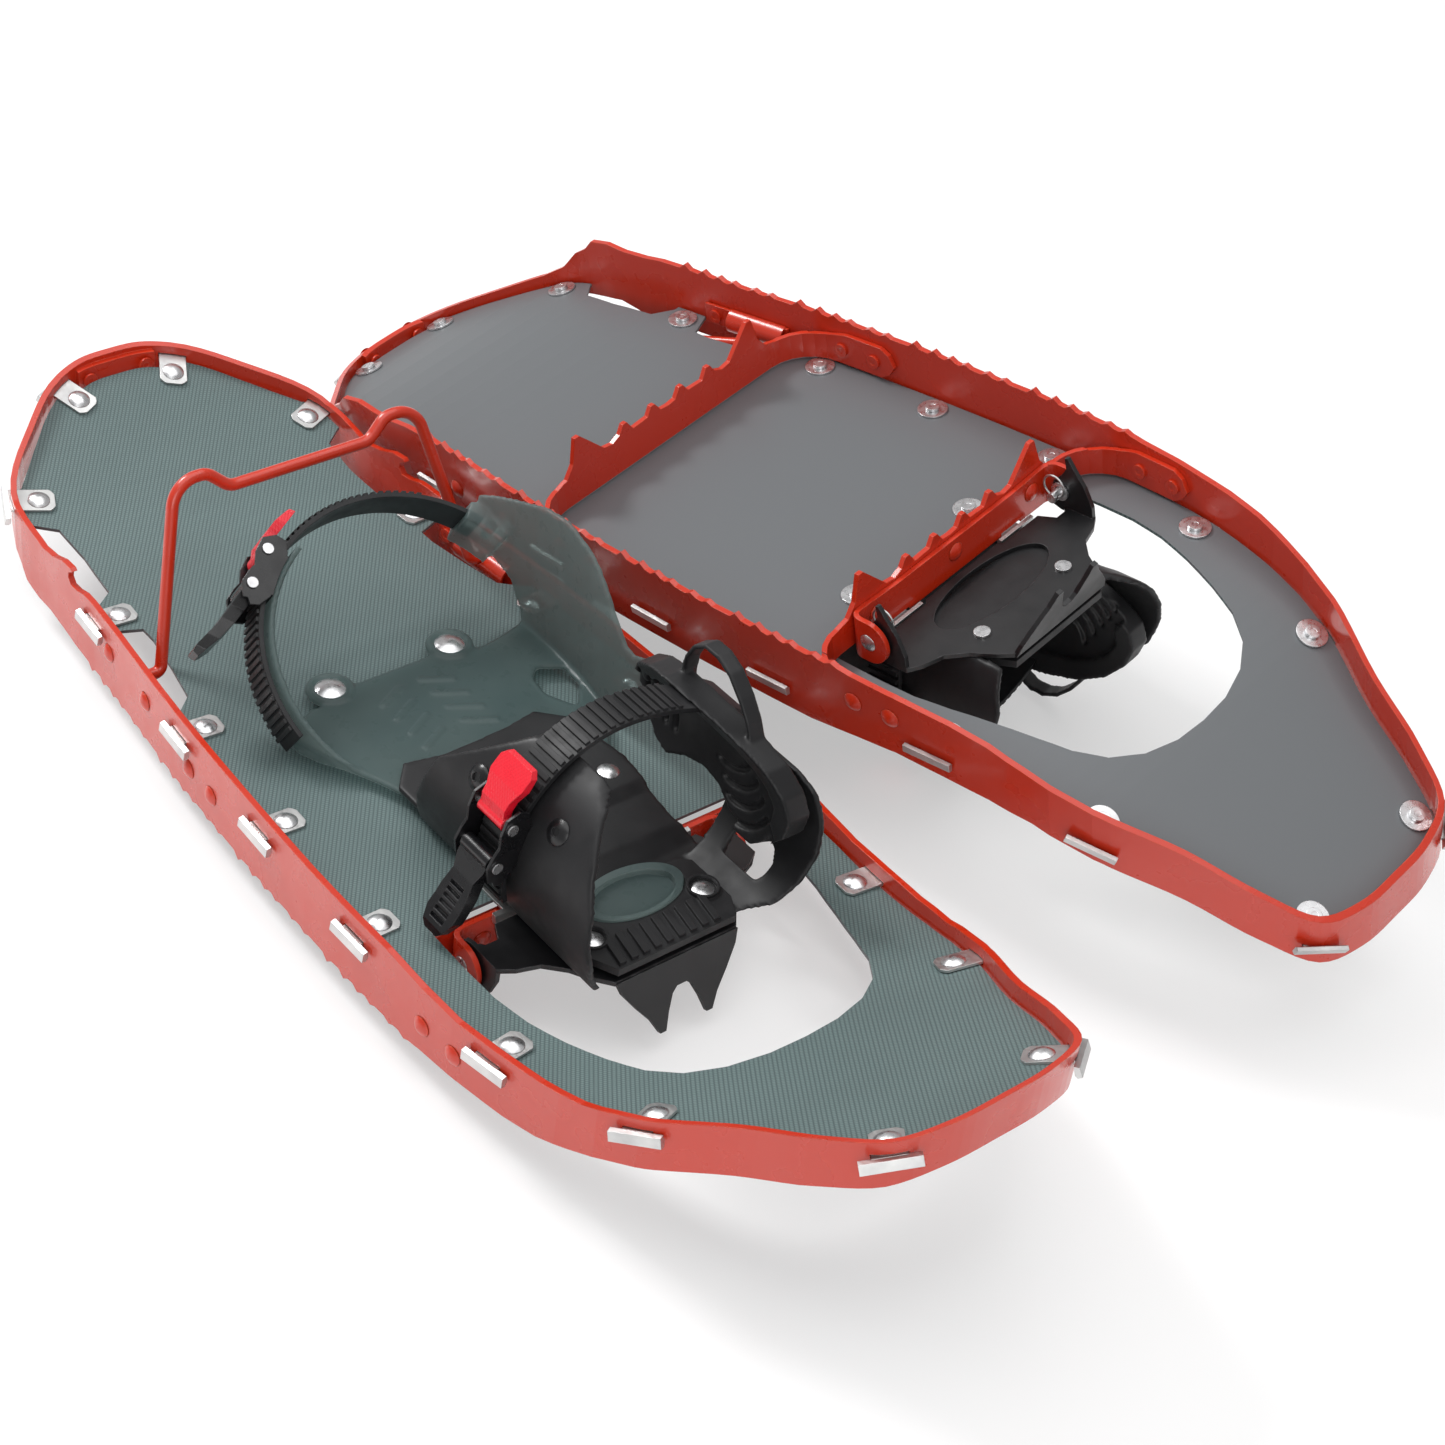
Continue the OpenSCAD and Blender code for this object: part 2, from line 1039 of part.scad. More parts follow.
// ---------------------------------------------------------------- crampon
plate_low = -3.2;
claw_y = 147;
claw_lean = 20;
claw_len = 30;
plate_rivet = [28.5, 128];

module crampon_plate_2d() {
  difference() {
    both_sides() {
      polygon([
        [0, 93],
        [25, 93],
        [27, 95],
        [52, 95],
        [56, 103],
        [62, 103],
        [64, 101],
        [crampon_ear_x + crampon_t / 2, 101],
        [crampon_ear_x + crampon_t / 2, 117],
        [60, 121],
        [50, 124],
        [42, 132],
        [36, 142],
        [31, claw_y + 1],
        [0, claw_y + 1]
      ]);
    }
    translate([0, 110.5]) {
      scale([2.6, 1]) {
        circle(r = 14);
      }
    }
    both_sides() {
      translate(plate_rivet) {
        circle(r = hole_r);
      }
    }
  }
}

module crampon_ear_2d() {
  difference() {
    polygon([
      [94, -9],
      [94.6, plate_low + crampon_t - 1.4],
      [99, plate_low + crampon_t],
      [117, plate_low + crampon_t],
      [116.5, -9],
      [112.5, -18],
      [107, -25.5],
      [103.2, -31],
      [101.6, -30.6],
      [102.4, -25],
      [99.6, -20.5],
      [94.8, -15.5]
    ]);
    translate([pivot_y, pivot_z]) {
      circle(r = pin_r + 0.15);
    }
  }
}

module claw_2d() {
  polygon([
    [-31, 0],
    [31, 0],
    [29, 6],
    [23, 15],
    [17, 23],
    [13.5, claw_len],
    [10.5, claw_len],
    [8, 22],
    [5, 15],
    [2.4, 12.6],
    [-2.4, 12.6],
    [-5, 15],
    [-8, 22],
    [-10.5, claw_len],
    [-13.5, claw_len],
    [-17, 23],
    [-23, 15],
    [-29, 6]
  ]);
}

module crampon() {
  color(black) {
    translate([0, 0, plate_low]) {
      linear_extrude(crampon_t) {
        crampon_plate_2d();
      }
    }
    both_sides() {
      along_x(crampon_ear_x - crampon_t / 2, crampon_ear_x + crampon_t / 2) {
        crampon_ear_2d();
      }
    }
    translate([0, claw_y, plate_low + 1.2]) {
      rotate([claw_lean - 90, 0, 0]) {
        linear_extrude(crampon_t) {
          claw_2d();
        }
      }
    }
  }
}

// ---------------------------------------------------------------- toe base
toe_axis = [-2, 28];
inner_axis = [-22, 42];
inner_r = 42.7;
floor_low = 4;
floor_front_low = plate_low + crampon_t + 0.15;
strap_y = 91;
strap_w = 18;
lap_low = floor_low + tpu_t + 0.1;

// Band of a ring about the local Z axis
module arc_band(r0, r1, a0, a1, h) {
  rotate([0, 0, a0]) {
    rotate_extrude(angle = a1 - a0) {
      translate([r0, 0]) {
        square([r1 - r0, h]);
      }
    }
  }
}

// Frame whose XY plane is the plane across the shoe and whose Z runs to the tail
module across(axis, y) {
  translate([axis[0], y, axis[1]]) {
    rotate([90, 0, 0]) {
      children();
    }
  }
}

module toe_floor_side_2d() {
  polygon([
    [2, lap_low],
    [2, lap_low + tpu_t],
    [62, lap_low + tpu_t],
    [69, floor_low + tpu_t],
    [91, floor_low + tpu_t],
    [100.5, floor_front_low + tpu_t],
    [134, floor_front_low + tpu_t],
    [134, floor_front_low],
    [99.5, floor_front_low],
    [90, floor_low],
    [67, floor_low],
    [60.8, lap_low]
  ]);
}

module toe_floor_2d() {
  difference() {
    polygon([
      [-34, 2],
      [-16, 5],
      [16, 6],
      [34, 2],
      [44.4, 14],
      [44.4, 88],
      [40.5, 101],
      [40.5, 126],
      [36, 134],
      [-36, 134],
      [-44, 122],
      [-50, 113],
      [-45, 88],
      [-50, 47],
      [-46, 14]
    ]);
    both_sides() {
      translate(plate_rivet) {
        circle(r = hole_r);
      }
    }
    lap_bolt_sites() {
      circle(r = hole_r);
    }
  }
}

lap_bolts = [[-37, 52], [31, 52]];

module lap_bolt_sites() {
  for (p = lap_bolts) {
    translate(p) {
      children();
    }
  }
}

wing_rivets = [[28, 67], [35, 115]];

module wing_rivet_sites() {
  for (w = wing_rivets) {
    across(toe_axis, w[1]) {
      rotate([0, 0, w[0]]) {
        translate([toe_arch_r, 0, 0]) {
          rotate([0, 90, 0]) {
            children();
          }
        }
      }
    }
  }
}

module toe_base() {
  color(black) {
    intersection() {
      along_x(-60, 60) {
        toe_floor_side_2d();
      }
      translate([0, 0, -10]) {
        linear_extrude(40) {
          toe_floor_2d();
        }
      }
    }
    difference() {
      intersection() {
        across(toe_axis, 156) {
          arc_band(toe_arch_r - tpu_t, toe_arch_r, -38, 66, 130);
        }
        along_x(0, 70) {
          polygon([
            [30, floor_low],
            [90, floor_low],
            [99.5, floor_front_low],
            [148, floor_front_low],
            [152, 18],
            [148, 42],
            [138, 58],
            [126, 70],
            [112, 76],
            [96, 76],
            [76, 72],
            [60, 60],
            [42, 46],
            [33, 22]
          ]);
        }
      }
      wing_rivet_sites() {
        cylinder(r = hole_r, h = 20, center = true);
      }
    }
    difference() {
      intersection() {
        across(inner_axis, 156) {
          arc_band(inner_r, inner_r + tpu_t, 138, 258, 90);
        }
        along_x(-90, -30) {
          polygon([
            [106, floor_front_low],
            [134, floor_front_low],
            [143, 0.5],
            [152, 6],
            [155, 16],
            [155.5, 28],
            [153, 42],
            [148, 55],
            [138, 61],
            [112, 61],
            [100, 59],
            [93, 53],
            [93, 46],
            [99, 36],
            [103, 14]
          ]);
        }
      }
      pad_bolt_site() {
        cylinder(r = hole_r, h = 12, center = true);
      }
      along_x(-90, -48) {
        translate([127, 12]) {
          scale([1.2, 0.9]) {
            circle(r = 10);
          }
        }
      }
    }
  }
}

// ---------------------------------------------------------------- toe platform
platform_low = floor_front_low + tpu_t + 0.1;
platform_t = 3.6;
rib_h = 1.6;

module toe_platform() {
  color(black) {
    difference() {
      union() {
        translate([0, 0, platform_low]) {
          linear_extrude(platform_t) {
            polygon([
              [-30, 148],
              [30, 148],
              [35.8, 136],
              [38, 116],
              [30, 108],
              [-30, 108],
              [-35.4, 112],
              [-35.4, 138]
            ]);
          }
        }
        for (x = [-24 : 6 : 24]) {
          translate([x, 131.5, platform_low + platform_t - eps]) {
            linear_extrude(rib_h) {
              polygon([[-1.6, 0], [1.6, 0], [4.4, 15], [1.2, 15]]);
            }
          }
        }
        both_sides() {
          translate([plate_rivet[0], plate_rivet[1], platform_low]) {
            cylinder(r = 7, h = platform_t + rib_h);
          }
        }
      }
      translate([window_c[0], window_c[1], platform_low - 1]) {
        linear_extrude(20) {
          scale([window_wide, 1]) {
            circle(r = window_r + 0.3);
          }
        }
      }
      both_sides() {
        translate([plate_rivet[0], plate_rivet[1], platform_low - 1]) {
          cylinder(r = hole_r, h = 20);
        }
        translate([plate_rivet[0], plate_rivet[1], platform_low + platform_t - 0.6]) {
          cylinder(r = 6, h = 20);
        }
      }
    }
  }
}

window_c = [-2, 115];
window_r = 13.9;
window_wide = 1.75;

module toe_window() {
  color(smoke) {
    translate([window_c[0], window_c[1], platform_low]) {
      difference() {
        linear_extrude(platform_t + 1) {
          scale([window_wide, 1]) {
            circle(r = window_r);
          }
        }
        translate([0, 0.8, 1.6]) {
          linear_extrude(platform_t) {
            scale([window_wide, 1]) {
              circle(r = window_r - 2.6);
            }
          }
        }
      }
    }
  }
}

// ---------------------------------------------------------------- heel harness
heel_centre = [-3, -44.8, 20.4];
heel_tilt = 34.2;
pressed_tilt = 25;
wall_t = tpu_t;
heel_rivet = [31.4, -58];
heel_floor_top = floor_low + tpu_t;

module in_heel_loop() {
  translate(heel_centre) {
    rotate([-$tilt, 0, 0]) {
      children();
    }
  }
}

module heel_band(r0, r1, a0, a1, z0, z1) {
  in_heel_loop() {
    translate([0, 0, z0]) {
      arc_band(r0, r1, a0, a1, z1 - z0);
    }
  }
}

inner_wall_path = [
  [-66, 58],
  [-65.5, 40],
  [-65.2, 24],
  [-66.5, 8],
  [-69.5, -10],
  [-71, -32],
  [-70.5, -50],
  [-68, -64],
  [-64.5, -76],
  [-61, -83]
];

module heel_floor_2d() {
  difference() {
    union() {
      polygon([
        [36, 60],
        [-43, 60],
        [-47, 40],
        [-61, 22],
        [-66.5, 9],
        [-70.5, -10],
        [-72, -32],
        [-71, -56],
        [-50, -51],
        [-31, -49],
        [-22, -56],
        [22, -56],
        [31, -49],
        [46, -51],
        [58, -44],
        [65, -38],
        [65.6, -30],
        [61.5, -20],
        [54, -9],
        [47, 6],
        [42, 20],
        [36, 28]
      ]);
      both_sides() {
        translate(heel_rivet) {
          circle(r = 11);
        }
      }
    }
    both_sides() {
      translate(heel_rivet) {
        circle(r = hole_r);
      }
    }
    lap_bolt_sites() {
      circle(r = hole_r);
    }
    polygon([[-50, -20], [-56, -25], [-66, -19], [-65, -6], [-55, 6], [-48, -8]]);
  }
}

chevrons = 4;
chevron_pitch = 11;

module heel_inner_wall() {
  intersection() {
    translate([0, 0, floor_low]) {
      linear_extrude(80) {
        band_2d(inner_wall_path, wall_t);
      }
    }
    along_x(-90, -40) {
      polygon([
        [9, floor_low],
        [22, 11],
        [34, 20],
        [46, 27],
        [57, 31],
        [57, 47],
        [46, 50],
        [38, 48.5],
        [28, 44.5],
        [21, 46],
        [13, 54],
        [6, 61],
        [-4, 68],
        [-16, 73],
        [-31, 76],
        [-46, 74],
        [-58, 70],
        [-72, 66],
        [-84, 62],
        [-84, 34],
        [-74, 33],
        [-64, 26],
        [-57, 14],
        [-55, floor_low]
      ]);
    }
  }
}

module heel_outer_wall() {
  intersection() {
    heel_band(heel_arch_r - wall_t, heel_arch_r, -62, 44, -11, 11);
    translate([-100, -150, floor_low]) {
      cube([200, 200, 120]);
    }
  }
}

module heel_harness() {
  color(smoke) {
    difference() {
      union() {
        translate([0, 0, floor_low]) {
          linear_extrude(tpu_t) {
            heel_floor_2d();
          }
        }
        heel_inner_wall();
        heel_outer_wall();
        heel_band(66.5, 76.5, -152, -135, -12.5, 12.5);
        both_sides() {
          translate([heel_rivet[0], heel_rivet[1], heel_floor_top - eps]) {
            difference() {
              cylinder(r = 10, h = 1.6);
              translate([0, 0, -1]) {
                cylinder(r = 8, h = 4);
              }
            }
          }
        }
        for (k = [0 : chevrons - 1]) {
          for (side = [-1, 1]) {
            translate([side * 12, -40 + k * chevron_pitch, heel_floor_top - eps]) {
              rotate([0, 0, side * 28]) {
                translate([-8, -0.8, 0]) {
                  cube([16, 1.6, 0.9]);
                }
              }
            }
          }
        }
      }
      heel_band(heel_strap_r - 0.15, heel_strap_r + strap_t + 0.15, -143, -130, -9.2, 9.2);
      heel_band(heel_strap_r + 1, 90, -148, -144.5, -5, 5);
    }
  }
}

// ---------------------------------------------------------------- ladder straps
strap_t = 2.1;
strap_lift = 1.9;
rib_out = 1.2;
toe_strap_r = toe_arch_r + 0.2 + strap_lift;
heel_strap_r = heel_arch_r + 0.2 + strap_lift;

// Flat strap bent to an arc with raised ribs on its outer face, centred on Z
module ladder(r, a0, a1, rib0, rib1, pitch, slim = 0) {
  translate([0, 0, slim - strap_w / 2]) {
    arc_band(r + slim, r + strap_t - slim, a0, a1, strap_w - 2 * slim);
  }
  step = pitch / (r + strap_t) * 180 / PI;
  for (a = [rib0 : step : rib1]) {
    translate([0, 0, -strap_w / 2 + 0.6]) {
      arc_band(r + strap_t - 0.1, r + strap_t + rib_out, a, a + step * 0.55, strap_w - 1.2);
    }
  }
}

toe_strap_span = [-14, 95];
// The strap flattens past its crown: a wider arc that carries on from the first
crown_a = toe_strap_span[1];
crown_r = 110;
crown_end = 123;
heel_strap_span = [-141.5, 14];

module past_crown() {
  across(toe_axis, strap_y) {
    translate((toe_strap_r - crown_r) * [cos(crown_a), sin(crown_a), 0]) {
      children();
    }
  }
}

module toe_ladder_strap() {
  color(black) {
    across(toe_axis, strap_y) {
      ladder(toe_strap_r, toe_strap_span[0], crown_a, toe_strap_span[0] + 2, crown_a - 3, 4.2);
    }
    past_crown() {
      ladder(crown_r, crown_a - 1, crown_end, crown_a + 0.6, 108, 4.2, 0.06);
    }
  }
}

module heel_ladder_strap() {
  color(black) {
    in_heel_loop() {
      ladder(heel_strap_r, heel_strap_span[0], heel_strap_span[1], -118, heel_strap_span[1] - 4, 3.6);
    }
  }
}

// ---------------------------------------------------------------- toe pad
// Axis and radii of the curved pad on the inner side of the toe
pad_axis = [8, 44];
pad_out = 68;
pad_in = 60;
pad_rim_in = 56.5;
pad_bolt = [113, 50];
pad_grooves = 5;
pad_ribs = 4;
loop_t = 2;

module pad_bolt_site() {
  translate([inner_axis[0], pad_bolt[0], pad_bolt[1]]) {
    rotate([0, -90, 0]) {
      translate([0, 0, inner_r + tpu_t - 0.9]) {
        children();
      }
    }
  }
}

// Side outline of the pad, along the shoe and up
module pad_outline_2d() {
  polygon([
    [48, 50],
    [48, 58],
    [54, 67],
    [66, 75],
    [80, 79],
    [94, 78],
    [110, 76],
    [125, 73],
    [138, 67],
    [147, 58],
    [151, 48],
    [149, 38],
    [141, 29],
    [131, 22],
    [122, 22],
    [114, 28],
    [104, 34],
    [94, 36],
    [82, 33],
    [72, 28],
    [64, 30],
    [55, 38]
  ]);
}

module pad_rim_2d() {
  polygon([
    [50, 60],
    [54, 67],
    [66, 75],
    [80, 79],
    [94, 78],
    [110, 76],
    [125, 73],
    [138, 67],
    [147, 58],
    [151, 48],
    [149, 38],
    [145, 34],
    [140, 40],
    [141, 49],
    [136, 57],
    [129, 62],
    [118, 66],
    [104, 68],
    [88, 69],
    [76, 69],
    [66, 66],
    [58, 58]
  ]);
}

module pad_shell(r0, h0, h1) {
  across(pad_axis, h1) {
    arc_band(r0, pad_out, 105, 235, h1 - h0);
  }
}

// Bellows on the front limb and upright ribs on the rear one
module pad_grooves_2d() {
  for (k = [0 : pad_grooves - 1]) {
    translate([106 + 4.4 * k, 63 - 6.8 * k]) {
      rotate([0, 0, 30]) {
        intersection() {
          difference() {
            circle(r = 18);
            circle(r = 15.4);
          }
          translate([-12, -20]) {
            square([24, 14]);
          }
        }
      }
    }
  }
  for (k = [0 : pad_ribs - 1]) {
    translate([53 + 6.5 * k, 40]) {
      square([2.4, 24]);
    }
  }
}

module pad_loop_2d() {
  band_2d([
    [79, 70],
    [80.5, 86],
    [84.5, 94],
    [91, 98.5],
    [99, 98.5],
    [107, 95],
    [115, 87.5],
    [121, 79.5],
    [128, 64]
  ], loop_t);
}

module toe_strap_pad() {
  color(black) {
    difference() {
      union() {
        intersection() {
          pad_shell(pad_in, 40, 160);
          along_x(-70, -30) {
            pad_outline_2d();
          }
        }
        intersection() {
          pad_shell(pad_rim_in, 42, 158);
          along_x(-69, -31) {
            pad_rim_2d();
          }
        }
        along_x(-54, -46) {
          pad_loop_2d();
        }
        past_crown() {
          translate([0, 0, -strap_w / 2 - 3]) {
            arc_band(crown_r - 2.4, crown_r + strap_t + 3, 116.5, 126, strap_w + 6);
          }
        }
        pad_bolt_site() {
          translate([0, 0, -9]) {
            cylinder(r = 5, h = 5);
          }
        }
      }
      past_crown() {
        translate([0, 0, -strap_w / 2 - 0.15]) {
          arc_band(crown_r - 0.2, crown_r + strap_t + 0.2, 90, crown_end + 0.2, strap_w + 0.3);
        }
      }
      intersection() {
        across(pad_axis, 156) {
          arc_band(pad_in - 10, pad_in + 2.4, 110, 230, 112);
        }
        along_x(-72, -28) {
          pad_grooves_2d();
        }
      }
      pad_bolt_site() {
        translate([0, 0, -9]) {
          cylinder(r = hole_r, h = 12);
        }
      }
    }
  }
}

// ---------------------------------------------------------------- buckles
// Frame with X away from the foot, Y along the strap and Z across it
plate_z = 10.3;
plate_t = 1.2;
pin_len = 2 * (plate_z + plate_t) + 0.4;
lever_pin = [9.6, -9];
release_pin = [9, 9];
buckle_pin_r = 1.5;

module buckle_frame(r) {
  base = 10 / r * 180 / PI;
  difference() {
    union() {
      translate([-r, 0, -plate_z - plate_t]) {
        arc_band(r + 0.1, r + 1.6, -base, base, 2 * (plate_z + plate_t));
      }
      for (z = [-plate_z - plate_t, plate_z]) {
        translate([0, 0, z]) {
          linear_extrude(plate_t) {
            polygon([
              [0.3, -11],
              [3.4, -17],
              [7, -18.5],
              [9, -16],
              [11, -16.5],
              [14, -10],
              [13, -4],
              [11.6, 0],
              [13.4, 6],
              [13, 13],
              [8, 17],
              [3, 16.5],
              [0.3, 11]
            ]);
          }
        }
      }
    }
    for (p = [lever_pin, release_pin]) {
      translate([p[0], p[1], -20]) {
        cylinder(r = buckle_pin_r + 0.1, h = 40);
      }
    }
  }
}

module buckle_pins() {
  for (p = [lever_pin, release_pin]) {
    translate([p[0], p[1], -pin_len / 2]) {
      cylinder(r = buckle_pin_r, h = pin_len);
    }
    for (z = [-pin_len / 2 - 0.7, pin_len / 2 - 0.05]) {
      translate([p[0], p[1], z]) {
        cylinder(r = 2.5, h = 0.75);
      }
    }
  }
}

lever_half = 8.6;
release_half = 8;
grip_ribs = 5;

module barrel(p, r, half) {
  translate([p[0], p[1], -half]) {
    cylinder(r = r, h = 2 * half);
  }
}

module buckle_lever() {
  difference() {
    union() {
      barrel(lever_pin, 3.5, lever_half);
      intersection() {
        translate([0, 0, -10]) {
          linear_extrude(20) {
            polygon([
              [7.4, -10.4],
              [12, -10],
              [13.8, -20],
              [16.8, -33],
              [20.4, -43],
              [20.6, -46],
              [17.6, -46.8],
              [13, -38],
              [9.6, -28],
              [7.2, -18]
            ]);
          }
        }
        rotate([0, 90, 0]) {
          linear_extrude(40) {
            polygon([
              [-lever_half, -3],
              [lever_half, -3],
              [lever_half, -14],
              [6.6, -20],
              [8, -28],
              [8.4, -38],
              [6, -44],
              [2.5, -47.2],
              [-2.5, -47.2],
              [-6, -44],
              [-8.4, -38],
              [-8, -28],
              [-6.6, -20],
              [-lever_half, -14]
            ]);
          }
        }
      }
    }
    barrel(lever_pin, buckle_pin_r + 0.12, 20);
    for (k = [0 : grip_ribs]) {
      translate([15.1 + k * 0.85, -25 - k * 3, 0]) {
        rotate([0, 0, -16]) {
          translate([-1.3, -0.8, -4.2]) {
            cube([6, 1.6, 8.4]);
          }
        }
      }
    }
  }
}

module buckle_release() {
  difference() {
    union() {
      barrel(release_pin, 3, release_half);
      intersection() {
        translate([0, 0, -11]) {
          linear_extrude(22) {
            polygon([
              [7.4, 10],
              [11.2, 10],
              [12.6, 15],
              [10.6, 24],
              [6.4, 33.4],
              [3.6, 33.8],
              [6, 24],
              [8.2, 15]
            ]);
          }
        }
        rotate([0, 90, 0]) {
          linear_extrude(40) {
            polygon([
              [-release_half, 5],
              [release_half, 5],
              [7.4, 14],
              [7.6, 19],
              [10, 25],
              [10, 31],
              [7, 34.5],
              [-7, 34.5],
              [-10, 31],
              [-10, 25],
              [-7.6, 19],
              [-7.4, 14]
            ]);
          }
        }
      }
    }
    barrel(release_pin, buckle_pin_r + 0.12, 20);
  }
}

toe_buckle_a = 18;
heel_buckle_a = -47;

module at_toe_buckle() {
  across(toe_axis, strap_y) {
    rotate([0, 0, toe_buckle_a]) {
      translate([toe_arch_r, 0, 0]) {
        children();
      }
    }
  }
}

module at_heel_buckle() {
  in_heel_loop() {
    rotate([0, 0, heel_buckle_a]) {
      translate([heel_arch_r, 0, 0]) {
        mirror([0, 1, 0]) {
          children();
        }
      }
    }
  }
}

// ---------------------------------------------------------------- binding rivets
module binding_rivets() {
  color(steel) {
    both_sides() {
      translate([heel_rivet[0], heel_rivet[1], heel_floor_top + 0.05]) {
        dome(7.2, 1.9);
        translate([0, 0, -tpu_t - 0.6]) {
          cylinder(r = shank_r, h = tpu_t + 0.7);
        }
      }
      translate([heel_rivet[0], heel_rivet[1], floor_low - 1.2]) {
        cylinder(r = 5, h = 1.15);
      }
      translate([plate_rivet[0], plate_rivet[1], 0]) {
        translate([0, 0, platform_low + platform_t - 0.55]) {
          dome(5.2, 1.4);
        }
        translate([0, 0, plate_low - 1]) {
          cylinder(r = shank_r, h = platform_low + platform_t - plate_low + 0.6);
        }
        translate([0, 0, plate_low - 1.3]) {
          cylinder(r = 3.8, h = 1.25);
        }
      }
    }
    lap_bolt_sites() {
      translate([0, 0, lap_low + tpu_t + 0.05]) {
        dome(5, 1.5);
      }
      translate([0, 0, floor_low - 1]) {
        cylinder(r = shank_r, h = lap_low + tpu_t - floor_low + 1.2);
      }
      translate([0, 0, floor_low - 1.2]) {
        cylinder(r = 4, h = 1.15);
      }
    }
  }
}

wing_head_r = 5.6;

// Black screws with a socket that join the straps to the toe wings
module wing_rivets() {
  color(black) {
    wing_rivet_sites() {
      difference() {
        union() {
          translate([0, 0, 0.05]) {
            dome(wing_head_r, 2);
          }
          translate([0, 0, -tpu_t - 1.3]) {
            cylinder(r = shank_r, h = tpu_t + 1.4);
          }
        }
        translate([0, 0, 1]) {
          cylinder(r = 2.2, h = 4, $fn = 6);
        }
      }
      translate([0, 0, -tpu_t - 1.45]) {
        cylinder(r = 4, h = 1.15);
      }
    }
    pad_bolt_site() {
      translate([0, 0, 1]) {
        dome(wing_head_r, 2);
      }
      translate([0, 0, -8]) {
        cylinder(r = shank_r, h = 9.4);
      }
    }
  }
}

// ---------------------------------------------------------------- buckle sets
module toe_buckle_frame() {
  color(black) {
    at_toe_buckle() {
      buckle_frame(toe_arch_r);
    }
  }
}

module toe_buckle_lever() {
  color(black) {
    at_toe_buckle() {
      buckle_lever();
    }
  }
}

module toe_buckle_release() {
  color(tab_red) {
    at_toe_buckle() {
      buckle_release();
    }
  }
}

module heel_buckle_frame() {
  color(black) {
    at_heel_buckle() {
      buckle_frame(heel_arch_r);
    }
  }
}

module heel_buckle_lever() {
  color(black) {
    at_heel_buckle() {
      buckle_lever();
    }
  }
}

module heel_buckle_release() {
  color(tab_red) {
    at_heel_buckle() {
      buckle_release();
    }
  }
}

module all_buckle_pins() {
  color(black) {
    at_toe_buckle() {
      buckle_pins();
    }
    at_heel_buckle() {
      buckle_pins();
    }
  }
}

// ---------------------------------------------------------------- the pair
// Sets the pair so that its box stands centred on the origin
pair_place = [111.73, 0.66, -1.8];
left_place = [-208.6, -24.8, 41.3 + deck_lift];
left_roll = 10.83;
left_pitch = 6.05;
left_turn = 8.57;
folded = 9.2;

module on_right() {
  $tilt = heel_tilt;
  translate(pair_place + [0, 0, deck_lift]) {
    children();
  }
}

// The left shoe lies upside down beside the right one and presses its heel loop flatter
module on_left() {
  $tilt = pressed_tilt;
  translate(pair_place + left_place) {
    rotate([0, left_roll, 0]) {
      rotate([left_pitch, 0, 0]) {
        rotate([0, 0, left_turn]) {
          mirror([0, 0, 1]) {
            children();
          }
        }
      }
    }
  }
}

module right_frame() {
  on_right() {
    frame();
  }
}

module right_deck() {
  on_right() {
    deck();
  }
}

module right_deck_clips() {
  on_right() {
    deck_clips();
  }
}

module right_deck_rivets() {
  on_right() {
    deck_rivets();
  }
}

module right_deck_washers() {
  on_right() {
    deck_washers();
  }
}

module right_frame_rivets() {
  on_right() {
    frame_rivets();
  }
}

module right_rear_crossmember() {
  on_right() {
    rear_crossmember();
  }
}

module right_front_crossmember() {
  on_right() {
    front_crossmember();
  }
}

module right_pivot_bracket() {
  on_right() {
    pivot_bracket();
  }
}

module right_bail_brackets() {
  on_right() {
    bail_brackets();
  }
}

module right_heel_lift() {
  on_right() {
    heel_lift(bail_raise);
  }
}

module right_pivot_pins() {
  on_right() {
    pivot_pins();
  }
}

module right_split_rings() {
  on_right() {
    split_rings();
  }
}

module right_crampon() {
  on_right() {
    crampon();
  }
}

module right_toe_platform() {
  on_right() {
    toe_platform();
  }
}

module right_toe_window() {
  on_right() {
    toe_window();
  }
}

module right_toe_base() {
  on_right() {
    toe_base();
  }
}

module right_heel_harness() {
  on_right() {
    heel_harness();
  }
}

module right_binding_rivets() {
  on_right() {
    binding_rivets();
  }
}

module right_wing_rivets() {
  on_right() {
    wing_rivets();
  }
}

module right_toe_ladder_strap() {
  on_right() {
    toe_ladder_strap();
  }
}

module right_toe_strap_pad() {
  on_right() {
    toe_strap_pad();
  }
}

module right_toe_buckle_frame() {
  on_right() {
    toe_buckle_frame();
  }
}

module right_toe_buckle_lever() {
  on_right() {
    toe_buckle_lever();
  }
}

module right_toe_buckle_release() {
  on_right() {
    toe_buckle_release();
  }
}

module right_heel_ladder_strap() {
  on_right() {
    heel_ladder_strap();
  }
}

module right_heel_buckle_frame() {
  on_right() {
    heel_buckle_frame();
  }
}

module right_heel_buckle_lever() {
  on_right() {
    heel_buckle_lever();
  }
}

module right_heel_buckle_release() {
  on_right() {
    heel_buckle_release();
  }
}

module right_buckle_pins() {
  on_right() {
    all_buckle_pins();
  }
}

module left_frame() {
  on_left() {
    frame();
  }
}

module left_deck() {
  on_left() {
    deck();
  }
}

module left_deck_clips() {
  on_left() {
    deck_clips();
  }
}

module left_deck_rivets() {
  on_left() {
    deck_rivets();
  }
}

module left_deck_washers() {
  on_left() {
    deck_washers();
  }
}

module left_frame_rivets() {
  on_left() {
    frame_rivets();
  }
}

module left_rear_crossmember() {
  on_left() {
    rear_crossmember();
  }
}

module left_front_crossmember() {
  on_left() {
    front_crossmember();
  }
}

module left_pivot_bracket() {
  on_left() {
    pivot_bracket();
  }
}

module left_bail_brackets() {
  on_left() {
    bail_brackets();
  }
}

